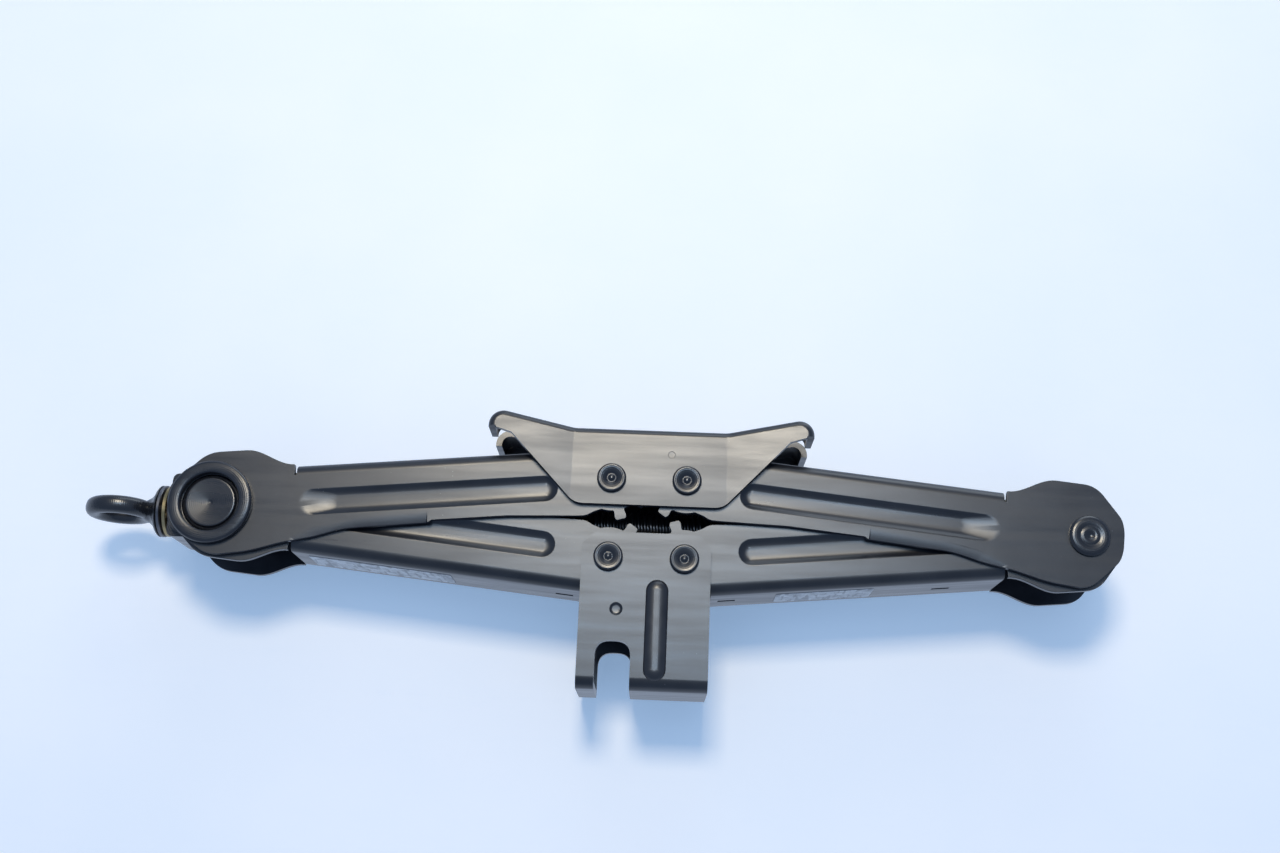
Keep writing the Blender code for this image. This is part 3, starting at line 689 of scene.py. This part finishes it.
def beadOutline(inset):
    left, right = footShape["bead"]
    low, high = footShape["beadRange"]
    middle, half = (left + right) / 2, (right - left) / 2
    outline = arc((middle, low + half), half - inset, 180, 360, 14)
    return outline + arc((middle, high - half), half - inset, 0, 180, 14)


def beadTool(halfWidth):
    bm = bmesh.new()
    for near in (-1, 1):
        places = [(0, -1)] + footShape["beadSteps"]
        addLoft(bm, [(beadOutline(inset), near * (halfWidth + y)) for inset, y in places])
    return bm


def notchTool():
    s = footShape
    left, right = s["notch"]
    shape = [(left, -5), (right, -5), (right, s["notchTop"]), (left, s["notchTop"])]
    outline = shape[:2] + rounded(shape, s["notchRound"], 7)[16:]
    bm = bmesh.new()
    addLoft(bm, [(outline, -cutReach), (outline, cutReach)])
    return bm


def footHoles(halfWidth):
    s = footShape
    bm = bmesh.new()
    for x in (footPivot.x, -footPivot.x):
        addDrill(bm, "Y", (x, 0, footPivot.z), rivetHole)
    x, z = s["dimple"]
    for near in (-1, 1):
        bowl = [(near * (halfWidth + y), radius) for y, radius in s["dimpleSteps"]]
        addTurned(bm, bowl, "Y", (x, 0, z), 28)
    return bm


def makeFoot():
    s = footShape
    high = nodeBox("foot")[1]
    foot = toObject("foot_pressed", footSheet(high.x, high.z, high.y - s["sheet"] / 2))
    sheetThickness(foot, s["sheet"])
    combine(foot, beadTool(high.y), "UNION")
    combine(foot, notchTool())
    combine(foot, footHoles(high.y))
    softenEdges(foot, s["edge"], 3)
    finishPiece(foot, "base", "foot", sheetCoat)


makeFoot()
print("foot made")


headShape = {
    "sheet": 2.5,
    "bend": 3.0,
    "flatHalf": 31.0,
    "plateDrop": 10.5,       # plate's lower edge below the pivots
    "topRise": 21.0,         # flat top above the pivots
    "corner": (29.6, 3.6),   # the plate's lower corner and how far it is rounded
    "crease": 1.7,
    "wingLow": (56.0, -3.9),
    "wingRise": 5.5,
    "wingFlare": 3.0,
    "curl": 6.0,             # outside radius of the tips
    "curlLow": (62.3, -2.1),
    "lip": 0.9,
    "mark": (8.6, 10.5),
    "markSteps": [(-0.18, 0), (-0.15, 1.3), (0.4, 1.9), (0.4, 0)],
    "wallRows": 5,
    "slot": (53.0, 7.0),     # open slot in each end of the top: where it starts, half width
}


def bentPath(first, corner, last, steps):
    # a quadratic round from one place to another, past a corner
    places = []
    for k in range(steps + 1):
        t = k / steps
        places.append(first.lerp(corner, t).lerp(corner.lerp(last, t), t))
    return places


def headStations(endX, topZ, bottomZ):
    # from the middle to the right tip: web place, outward normal, lower edge place
    s = headShape
    up = Vector((0, 1))
    webZ = topZ - s["sheet"] / 2
    corner, cornerRound = Vector((s["corner"][0], bottomZ)), s["corner"][1]
    wingLow = Vector((s["wingLow"][0], topZ + s["wingLow"][1]))
    along = (wingLow - corner).normalized()
    crease = Vector((s["flatHalf"], webZ))
    centre = Vector((endX - s["curl"], topZ + s["wingRise"] - s["curl"]))
    radius = s["curl"] - s["sheet"] / 2
    reach = centre - crease
    slope = math.atan2(reach.y, reach.x) + math.asin(radius / reach.length)
    rising = Vector((math.cos(slope), math.sin(slope)))
    stations = [(Vector((x, webZ)), up, Vector((x, bottomZ))) for x in (0, 6, 12, 18, 23)]

    # round the plate's lower corner, then bend up at the crease
    before = corner - Vector((cornerRound, 0))
    plateCorner = bentPath(before, corner, corner + along * cornerRound, 6)
    cornerStart = 25.5
    creaseStart = s["flatHalf"] - s["crease"]
    for k, edge in enumerate(plateCorner[:-1]):
        x = cornerStart + (creaseStart - cornerStart) * k / 6
        stations.append((Vector((x, webZ)), up, edge))
    edgeRun = along * 1.2
    turns = bentPath(Vector((creaseStart, webZ)), crease, crease + rising * s["crease"], 6)
    for k, place in enumerate(turns):
        normal = Vector((-math.sin(slope * k / 6), math.cos(slope * k / 6)))
        stations.append((place, normal, plateCorner[-1] + edgeRun * k / 6))

    # straight wing, then the curled tip and its lip
    wingNormal = Vector((-math.sin(slope), math.cos(slope)))
    edgeStart, webStart = plateCorner[-1] + edgeRun, turns[-1]
    webEnd = centre + wingNormal * radius
    for k in range(1, 6):
        stations.append((webStart.lerp(webEnd, k / 6), wingNormal, edgeStart.lerp(wingLow, k / 6)))
    last = Vector((s["curlLow"][0], topZ + s["curlLow"][1]))
    for k in range(13):
        turn = (math.pi / 2 + slope) * (1 - k / 12)
        normal = Vector((math.cos(turn), math.sin(turn)))
        stations.append((centre + normal * radius, normal, wingLow.lerp(last, 0.9 * k / 12)))
    stations.append((centre + Vector((radius, -s["lip"])), Vector((1, 0)), last))
    return stations


def headRow(place, normal, edge, half):
    # across the saddle at one station: side plate from its lower edge, round bend, far side
    s = headShape
    radius = s["bend"] - s["sheet"] / 2
    start = place - normal * radius
    points = []
    for k in range(s["wallRows"]):
        spot = edge.lerp(start, k / s["wallRows"])
        points.append((spot.x, half(spot.x), spot.y))
    for k in range(9):
        turn = math.radians(90 * k / 8)
        spot = start + normal * radius * math.sin(turn)
        points.append((spot.x, half(start.x) - radius + radius * math.cos(turn), spot.y))
    return points + [(x, -y, z) for x, y, z in reversed(points)]


def headSheet(endX, topZ, halfWidth):
    s = headShape

    def half(x):
        away = max(0.0, abs(x) - s["flatHalf"])
        return halfWidth - s["sheet"] / 2 + s["wingFlare"] * away / (endX - s["flatHalf"])

    stations = headStations(endX, topZ, headPivot.z - s["plateDrop"])
    rows = [headRow(*station, half) for station in stations]
    mirrored = [[(-x, y, z) for x, y, z in row] for row in reversed(rows[1:])]
    bm = bmesh.new()
    addRows(bm, mirrored + rows)
    return bm


def headHoles(halfWidth):
    s = headShape
    bm = bmesh.new()
    for x in (headPivot.x, -headPivot.x):
        addDrill(bm, "Y", (x, 0, headPivot.z), rivetHole)
    markX, markRise = s["mark"]
    for near in (-1, 1):
        mark = [(near * (halfWidth + y), radius) for y, radius in s["markSteps"]]
        addTurned(bm, mark, "Y", (markX, 0, headPivot.z + markRise), 24)
    return bm


def cutEndSlot(head, side, endX, topZ):
    # an open slot: a round end and a straight run out past the tip
    start, half = headShape["slot"]
    reach = 12
    slotRound = bmesh.new()
    addDrill(slotRound, "Z", (side * start, 0, topZ), half, reach=reach)
    combine(head, slotRound)
    near, far = sorted((side * start, side * (endX + 5)))
    low, high = topZ - reach, topZ + reach
    slotRun = bmesh.new()
    shape = [(near, low), (far, low), (far, high), (near, high)]
    addLoft(slotRun, [(shape, -half), (shape, half)])
    combine(head, slotRun)


def makeHead():
    s = headShape
    endX = nodeBox("saddle_head")[1].x
    halfWidth = armFace + pieceGap + s["sheet"]
    topZ = headPivot.z + s["topRise"]
    head = toObject("saddle_head_pressed", headSheet(endX, topZ, halfWidth))
    sheetThickness(head, s["sheet"])
    combine(head, headHoles(halfWidth))
    for side in (-1, 1):
        cutEndSlot(head, side, endX, topZ)
    softenEdges(head, 0.3, 2, 32)
    finishPiece(head, "head", "saddle_head", sheetCoat)


makeHead()
print("saddle head made")


headLift = 0.12         # under a riveted head
rivetShape = {"shank": 4.2, "head": 5.8, "height": 1.7}


def makeRivet(node, body, place, plateFace):
    s = rivetShape
    inner, outer = plateFace + headLift, plateFace + pieceGap + s["height"]
    # from the centre dot over the raised ring to the rim
    half = [(outer - 0.25, 0), (outer - 0.32, 0.55), (outer - 0.6, 1.0), (outer - 1.0, 1.5)]
    half += [(outer - 1.0, 1.9), (outer - 0.6, 2.35), (outer - 0.36, 2.7), (outer - 0.04, 4.8)]
    half += [(outer - 0.02, 5.05), (outer - 0.1, 5.35), (outer - 0.4, 5.68), (outer - 0.8, s["head"])]
    half += [(inner + 0.2, s["head"]), (inner, s["head"] - 0.2), (inner, s["shank"])]
    profile = [(-y, r) for y, r in half] + list(reversed(half))
    bm = bmesh.new()
    addTurned(bm, profile, "Y", place, 56)
    piece = toObject(node + "_turned", bm, place)
    finishPiece(piece, body, node, turnedCoat, 50)


footFace = nodeBox("foot")[1].y
headFace = armFace + pieceGap + headShape["sheet"]
for side, word in ((1, "left"), (-1, "right")):
    makeRivet("foot_pin_" + word, "base", (side * footPivot.x, 0, footPivot.z), footFace)
    makeRivet("head_pin_" + word, "head", (side * headPivot.x, 0, headPivot.z), headFace)

blockShape = {"from": -18.5, "to": 12.0, "halfHeight": 13.0, "stub": 11.3, "face": 10.0, "bore": 6.3}
blockHalf = nodeBox("lower_left_arm")[1].y - armShape["sheet"] - pieceGap


def makeThrustBlock():
    s = blockShape
    place = tuple(leftTrunnion)
    tall = s["halfHeight"]
    shape = [(s["from"], -tall), (s["to"], -tall), (s["to"], tall), (s["from"], tall)]
    outline = [(x + place[0], z + place[2]) for x, z in rounded(shape, 3.0, 6)]
    bm = bmesh.new()
    addLoft(bm, [(outline, -blockHalf), (outline, blockHalf)])
    piece = toObject("thrust_trunnion_forged", bm, place)
    stubs = bmesh.new()
    half = [(armFace + 0.75, 0), (armFace + 0.8, 0.6), (armFace + 1.1, 0.9), (armFace + 1.75, 9.0)]
    half += [(armFace + 1.7, 9.6), (armFace + 1.4, s["face"]), (armFace + 0.5, s["face"] + 0.2)]
    half += [(armFace - 0.1, s["stub"])]
    addTurned(stubs, [(-y, r) for y, r in half] + list(reversed(half)), "Y", place, 64)
    combine(piece, stubs, "UNION")
    bore = bmesh.new()
    addDrill(bore, "X", place, s["bore"])
    combine(piece, bore)
    softenEdges(piece, 0.3, 2, 35)
    finishPiece(piece, "thrust_block", "thrust_trunnion", turnedCoat)


ringShape = {"outer": 16.7, "inner": 11.75, "height": 3.2}


def makeRing(node, near):
    s = ringShape
    inner, outer = armFace + headLift, armFace + pieceGap + s["height"]
    half = [(inner, s["inner"] + 0.2), (outer - 0.9, s["inner"]), (outer - 0.4, s["inner"] + 0.15)]
    half += [(outer - 0.1, s["inner"] + 0.5), (outer, s["inner"] + 0.9), (outer, s["outer"] - 1.5)]
    half += [(outer - 0.12, s["outer"] - 0.8), (outer - 0.5, s["outer"] - 0.25)]
    half += [(outer - 1.1, s["outer"]), (inner + 0.4, s["outer"]), (inner, s["outer"] - 0.4)]
    bm = bmesh.new()
    addTurned(bm, [(near * y, r) for y, r in half], "Y", tuple(leftTrunnion), 96, closed=True)
    piece = toObject(node + "_turned", bm, tuple(leftTrunnion))
    finishPiece(piece, "thrust_block", node, turnedCoat, 50)


nutShape = {"barrel": 10.3, "stub": 7.0, "head": 8.1, "height": 1.8, "bore": 6.95}


def makeNut():
    s = nutShape
    place = tuple(rightTrunnion)
    inner, outer = armFace + headLift, armFace + pieceGap + s["height"]
    half = [(outer - 0.9, 0), (outer - 0.8, 0.7), (outer - 0.45, 1.4), (outer - 0.12, 1.9)]
    half += [(outer - 0.10, 3.4), (outer - 0.28, 3.7), (outer - 0.28, 4.1), (outer - 0.06, 4.5)]
    half += [(outer, 6.2), (outer - 0.12, 7.0), (outer - 0.5, 7.7), (outer - 1.0, s["head"])]
    half += [(inner, s["head"] - 0.1), (inner, s["stub"]), (blockHalf, s["stub"])]
    half += [(blockHalf, s["barrel"] - 0.6), (blockHalf - 0.6, s["barrel"])]
    bm = bmesh.new()
    addTurned(bm, [(-y, r) for y, r in half] + list(reversed(half)), "Y", place, 64)
    piece = toObject("nut_trunnion_turned", bm, place)
    bore = bmesh.new()
    addDrill(bore, "X", place, s["bore"])
    combine(piece, bore)
    finishPiece(piece, "nut_block", "nut_trunnion", turnedCoat, 40)


makeThrustBlock()
makeRing("trunnion_ring_front", -1)
makeRing("trunnion_ring_rear", 1)
makeNut()
print("rivets, trunnions and rings made")


screwShape = {
    "pitch": 2.5,
    "crest": 6.8,
    "root": 5.7,
    "turn": [0, 0, 0.5, 1, 1, 1, 0.5, 0],    # one pitch: root, rising flank, crest, falling flank
    "runOut": 3.0,
    "columns": 32,
    "shank": 6.0,
    "tipShank": 3.4,
    "endShank": 5.0,
    "washer": 10.6,
    "ball": 1.45,
    "ballCircle": 8.4,
    "balls": 8,
}
threadStart = blockShape["to"] + 1.0
threadEnd = 2 * rightTrunnion.x + nutShape["barrel"] - 0.4


def threadRadius(x, k):
    s = screwShape
    perPitch = len(s["turn"])
    phase = ((x - threadStart) / s["pitch"] - k / s["columns"]) % 1.0 * perPitch
    first = int(phase) % perPitch
    share = phase - int(phase)
    height = s["turn"][first] * (1 - share) + s["turn"][(first + 1) % perPitch] * share
    runOut = min(1.0, (x - threadStart) / s["runOut"], (threadEnd - x) / s["runOut"])
    return s["root"] + (s["crest"] - s["root"]) * height * max(0.0, runOut)


def spindleStations(low, high, washerEnd):
    # places along the spindle, each with its radius in every column
    s = screwShape
    tip, end, columns = s["tipShank"], s["endShank"], s["columns"]
    plain = [(low, tip - 0.4), (low + 0.4, tip), (washerEnd, tip), (washerEnd, s["shank"])]
    plain += [(threadStart - 0.5, s["shank"])]
    stations = [(x, [radius] * columns) for x, radius in plain]
    steps = int((threadEnd - threadStart) / (s["pitch"] / len(s["turn"])))
    for i in range(steps + 1):
        x = threadStart + (threadEnd - threadStart) * i / steps
        stations.append((x, [threadRadius(x, k) for k in range(columns)]))
    for x, radius in ((threadEnd + 0.3, end), (high - 0.4, end), (high, end - 0.4)):
        stations.append((x, [radius] * columns))
    return stations


def makeSpindle():
    columns = screwShape["columns"]
    low, high = nodeBox("spindle")
    place = tuple(leftTrunnion)
    washerEnd = nodeBox("outer_thrust_washer")[0].x - place[0]
    bm = bmesh.new()
    rings = []
    for x, radii in spindleStations(low.x - place[0], high.x - place[0], washerEnd):
        ring = []
        for k in range(columns):
            angle = 2 * math.pi * k / columns
            y, z = radii[k] * math.cos(angle), radii[k] * math.sin(angle)
            ring.append(bm.verts.new((place[0] + x, y, place[2] + z)))
        rings.append(ring)
    bm.faces.new(rings[0])
    bm.faces.new(list(reversed(rings[-1])))
    for ring, following in zip(rings, rings[1:]):
        for k in range(columns):
            n = (k + 1) % columns
            bm.faces.new((ring[k], following[k], following[n], ring[n]))
    piece = toObject("spindle_threaded", bm, place)
    finishPiece(piece, "screw", "spindle", screwFinish, 45)


def makeRoundRing(name, node, body, material, inner, outer, low, high, soft=0.3):
    half = [(low + soft, inner), (high - soft, inner), (high, inner + soft), (high, outer - soft)]
    half += [(high - soft, outer), (low + soft, outer), (low, outer - soft), (low, inner + soft)]
    bm = bmesh.new()
    addTurned(bm, half, "X", tuple(leftTrunnion), 64, closed=True)
    piece = toObject(name, bm, tuple(leftTrunnion))
    finishPiece(piece, body, node, material, 30)


def makeCage():
    s = screwShape
    low, high = nodeBox("ball_cage")
    middle = (low.x + high.x) / 2 - leftTrunnion.x
    inner, outer = s["shank"] + 0.4, s["washer"] - 0.2
    bm = bmesh.new()
    shape = [(middle - 0.6, inner), (middle + 0.6, inner), (middle + 0.7, inner + 0.15)]
    shape += [(middle + 0.7, outer - 0.15), (middle + 0.6, outer), (middle - 0.6, outer)]
    shape += [(middle - 0.7, outer - 0.15), (middle - 0.7, inner + 0.15)]
    addTurned(bm, shape, "X", tuple(leftTrunnion), 64, closed=True)
    piece = toObject("ball_cage_fine", bm, tuple(leftTrunnion))
    balls = bmesh.new()
    for k in range(s["balls"]):
        turn = 2 * math.pi * (k + 0.5) / s["balls"]
        made = bmesh.ops.create_icosphere(balls, subdivisions=3, radius=s["ball"])
        spot = Vector((middle, s["ballCircle"] * math.cos(turn), s["ballCircle"] * math.sin(turn)))
        bmesh.ops.translate(balls, verts=made["verts"], vec=spot + leftTrunnion)
    combine(piece, balls, "UNION")
    finishPiece(piece, "bearing_cage", "ball_cage", cageFinish, 40)


for node, body in (("inner_thrust_washer", "thrust_block"), ("outer_thrust_washer", "screw")):
    low, high = nodeBox(node)
    makeRoundRing(node + "_fine", node, body, washerFinish, 6.3, screwShape["washer"],
                  low.x - leftTrunnion.x, high.x - leftTrunnion.x)
stopLow, stopHigh = nodeBox("end_stop")
makeRoundRing("end_stop_fine", "end_stop", "screw", screwFinish, 5.2, stopHigh.y,
              stopLow.x - leftTrunnion.x, stopHigh.x - leftTrunnion.x, 0.4)
makeSpindle()
makeCage()
print("spindle and bearing made")


eyeShape = {
    "centre": -42.9,
    "hole": 7.35,
    "outer": 13.9,
    "thick": 7.2,
    "roundness": 0.85,       # 1 for a round bar, lower for a squarer one
    "socket": 3.7,
    "neck": [(-8.3, 0), (-8.3, 2.6), (-7.4, 3.7), (-6.3, 4.4), (-5.2, 5.0), (-4.2, 5.6), (-3.2, 6.5),
             (-2.2, 7.9), (-1.3, 9.5), (-0.8, 10.2), (-0.3, 10.6), (0, 10.4), (0, 0)],
}
pinShape = {"place": -27.7, "radius": 1.2, "hole": 1.35, "reach": 6.6, "chamfer": 0.35}
pinPlace = (leftTrunnion.x + pinShape["place"], 0, leftTrunnion.z)


def eyeBar():
    # the forged bar's section: a little squarer than round
    s = eyeShape
    middle = (s["hole"] + s["outer"]) / 2
    width = (s["outer"] - s["hole"]) / 2
    section = []
    for k in range(24):
        turn = 2 * math.pi * k / 24
        up = math.copysign(abs(math.sin(turn)) ** s["roundness"], math.sin(turn))
        out = math.copysign(abs(math.cos(turn)) ** s["roundness"], math.cos(turn))
        section.append((s["thick"] / 2 * up, middle + width * out))
    return section


def makeEye():
    s = eyeShape
    place = tuple(leftTrunnion)
    bm = bmesh.new()
    addTurned(bm, eyeBar(), "Z", (place[0] + s["centre"], 0, place[2]), 80, closed=True)
    piece = toObject("crank_eye_forged", bm, place)
    face = nodeBox("outer_thrust_washer")[0].x - pieceGap - place[0]
    neck = bmesh.new()
    addTurned(neck, [(face + x, r) for x, r in s["neck"]], "X", place, 56)
    combine(piece, neck, "UNION")
    deep = nodeBox("spindle")[0].x - pieceGap - place[0]
    socket = bmesh.new()
    addTurned(socket, [(deep, 0), (deep, s["socket"]), (0, s["socket"]), (0, 0)], "X", place, 32)
    combine(piece, socket)
    pinHole = bmesh.new()
    addDrill(pinHole, "Z", pinPlace, pinShape["hole"], 24, 20)
    combine(piece, pinHole)
    finishPiece(piece, "screw", "crank_eye", turnedCoat, 48)


def makeEyePin():
    s = pinShape
    reach = s["reach"]
    shoulder = reach - s["chamfer"]
    profile = [(-reach, 0), (-reach, 0.8), (-shoulder, s["radius"]), (shoulder, s["radius"])]
    bm = bmesh.new()
    addTurned(bm, profile + [(reach, 0.8), (reach, 0)], "Z", pinPlace, 24)
    piece = toObject("eye_pin_fine", bm, pinPlace)
    finishPiece(piece, "screw", "eye_pin", screwFinish, 40)


makeEye()
makeEyePin()
print("crank eye made")


stageLook = {
    "backdropY": 26.4,
    "wall": (0.88, 0.83, 0.77),
    "wallShade": (0.83, 0.80, 0.76),
    "floor": (0.80, 0.83, 0.87),
    "floorShade": (0.76, 0.79, 0.84),
    # painted fill light: the backdrop's own blue glow, not a lamp, brightens the shadows cast on it
    "painted_fill_glow": (0.17, 0.27, 0.42),       # lifts its shadows towards blue
    "fleck": (0.66, 0.68, 0.72),
    "far": 2600,
    "floorDrop": 0.4,
}


def paleSurface(name, light, dark, painted_fill_glow):
    # pale, barely mottled, glowing with a painted fill light that lifts its shadows towards blue, and only
    # there when seen from its front
    material, tree, shader, place = nodeMaterial(name)
    mottle = noiseOf(tree, place, 9, 4)
    colour = ramp(tree, mottle, [(0.35, dark), (0.65, light)])
    fine = noiseOf(tree, stretched(tree, place, (60, 60, 900), (0, 0.5, 0)), 1.0, 2)
    faint = mapped(tree, fine, 0.0, 0.10, 0.55, 0.75)
    colour = mixed(tree, faint, colour, stageLook["fleck"])
    tree.links.new(colour, shader.inputs["Base Color"])
    shader.inputs["Roughness"].default_value = 0.55
    # painted fill light: the surface emits this colour itself, so its shadows read as lit by a blue fill
    shader.inputs["Emission Color"].default_value = (*painted_fill_glow, 1)
    shader.inputs["Emission Strength"].default_value = 1
    geometry = tree.nodes.new("ShaderNodeNewGeometry")
    clear = tree.nodes.new("ShaderNodeBsdfTransparent")
    choose = tree.nodes.new("ShaderNodeMixShader")
    tree.links.new(geometry.outputs["Backfacing"], choose.inputs["Fac"])
    tree.links.new(shader.outputs["BSDF"], choose.inputs[1])
    tree.links.new(clear.outputs["BSDF"], choose.inputs[2])
    output = tree.nodes["Material Output"]
    tree.links.new(choose.outputs["Shader"], output.inputs["Surface"])
    return material


def stagePlane(name, corners, material):
    mesh = bpy.data.meshes.new(name)
    mesh.from_pydata([Vector(c) * mm for c in corners], [], [(0, 1, 2, 3)])
    plane = bpy.data.objects.new(name, mesh)
    bpy.context.scene.collection.objects.link(plane)
    mesh.materials.append(material)
    plane.visible_shadow = False
    plane.visible_diffuse = False
    plane.visible_glossy = False
    plane.visible_transmission = False


far = stageLook["far"]
wallY = stageLook["backdropY"]
floorZ = -stageLook["floorDrop"]
wallMaterial = paleSurface("backdrop_surface", stageLook["wall"], stageLook["wallShade"],
                           stageLook["painted_fill_glow"])
floorMaterial = paleSurface("floor_surface", stageLook["floor"], stageLook["floorShade"], (0, 0, 0))
stagePlane("backdrop", [(-far, wallY, -far), (far, wallY, -far), (far, wallY, far), (-far, wallY, far)],
           wallMaterial)
stagePlane("floor", [(-far, -far, floorZ), (far, -far, floorZ), (far, far, floorZ), (-far, far, floorZ)],
           floorMaterial)


def areaLight(name, where, aim, size, power, colour):
    data = bpy.data.lights.new(name, "AREA")
    data.shape = "RECTANGLE"
    data.size, data.size_y = size
    data.energy = power
    data.color = colour
    lamp = bpy.data.objects.new(name, data)
    lamp.location = Vector(where)
    lamp.rotation_mode = "QUATERNION"
    lamp.rotation_quaternion = (Vector(aim) - Vector(where)).to_track_quat("-Z", "Y")
    bpy.context.scene.collection.objects.link(lamp)
    return lamp


lightLook = {
    "key": (10.4, (1.0, 0.88, 0.68)),
    "upperBox": (2.6, (1.0, 0.98, 0.94)),
    "lowerBox": (2.9, (0.52, 0.74, 1.0)),
    "rim": (5, (0.85, 0.93, 1.0)),
    "room": (0.20, 0.29, 0.46),          # dim bluish side that the jack faces
    "table": (0.55, 0.66, 0.86),         # pale side that it lies on
}
middle = (0, 0, 0.06)
areaLight("key", (-0.10, -1.35, 0.66), middle, (0.35, 0.30), *lightLook["key"])
upperBox = areaLight("upper_box", (0.02, -1.2, 0.42), middle, (0.56, 0.24), *lightLook["upperBox"])
lowerBox = areaLight("lower_box", (0.02, -1.2, 0.22), middle, (0.56, 0.18), *lightLook["lowerBox"])
upperBox.visible_diffuse = False
lowerBox.visible_diffuse = False
areaLight("rim", (0.3, -0.35, 1.3), middle, (1.4, 0.5), *lightLook["rim"])


def softRoom():
    world = bpy.data.worlds.new("soft_room")
    world.use_nodes = True
    tree = world.node_tree
    sky = tree.nodes["Background"]
    where = tree.nodes.new("ShaderNodeTexCoord")
    split = tree.nodes.new("ShaderNodeSeparateXYZ")
    tree.links.new(where.outputs["Generated"], split.inputs["Vector"])
    facing = mapped(tree, split.outputs["Y"], 0.0, 1.0, -0.12, 0.10)
    colour = mixed(tree, facing, lightLook["room"], lightLook["table"])
    tree.links.new(colour, sky.inputs["Color"])
    bpy.context.scene.world = world


softRoom()

cameraSetup = {
    "azimuth": 1.1,
    "elevation": -16.5,
    "roll": 2.44,
    "distance": 0.583,
    "lens": 40.8,
    "aim": (-0.0046, -0.0225, 0.1045),
}


def makeCamera():
    c = cameraSetup
    data = bpy.data.cameras.new("camera")
    data.sensor_width = 36
    data.lens = c["lens"]
    data.clip_start = 0.01
    data.clip_end = 20
    camera = bpy.data.objects.new("camera", data)
    tilt, swing = math.radians(c["elevation"]), math.radians(c["azimuth"])
    towards = Vector((-math.sin(swing) * math.cos(tilt), math.cos(swing) * math.cos(tilt),
                      -math.sin(tilt)))
    camera.location = Vector(c["aim"]) - towards * c["distance"]
    turn = towards.to_track_quat("-Z", "Y").to_matrix()
    spin = Matrix.Rotation(math.radians(c["roll"]), 3, towards)
    camera.rotation_mode = "QUATERNION"
    camera.rotation_quaternion = (spin.inverted() @ turn).to_quaternion()
    bpy.context.scene.collection.objects.link(camera)
    bpy.context.scene.camera = camera


makeCamera()
bpy.context.scene.view_settings.view_transform = "Standard"
print("stage, lights and camera set")
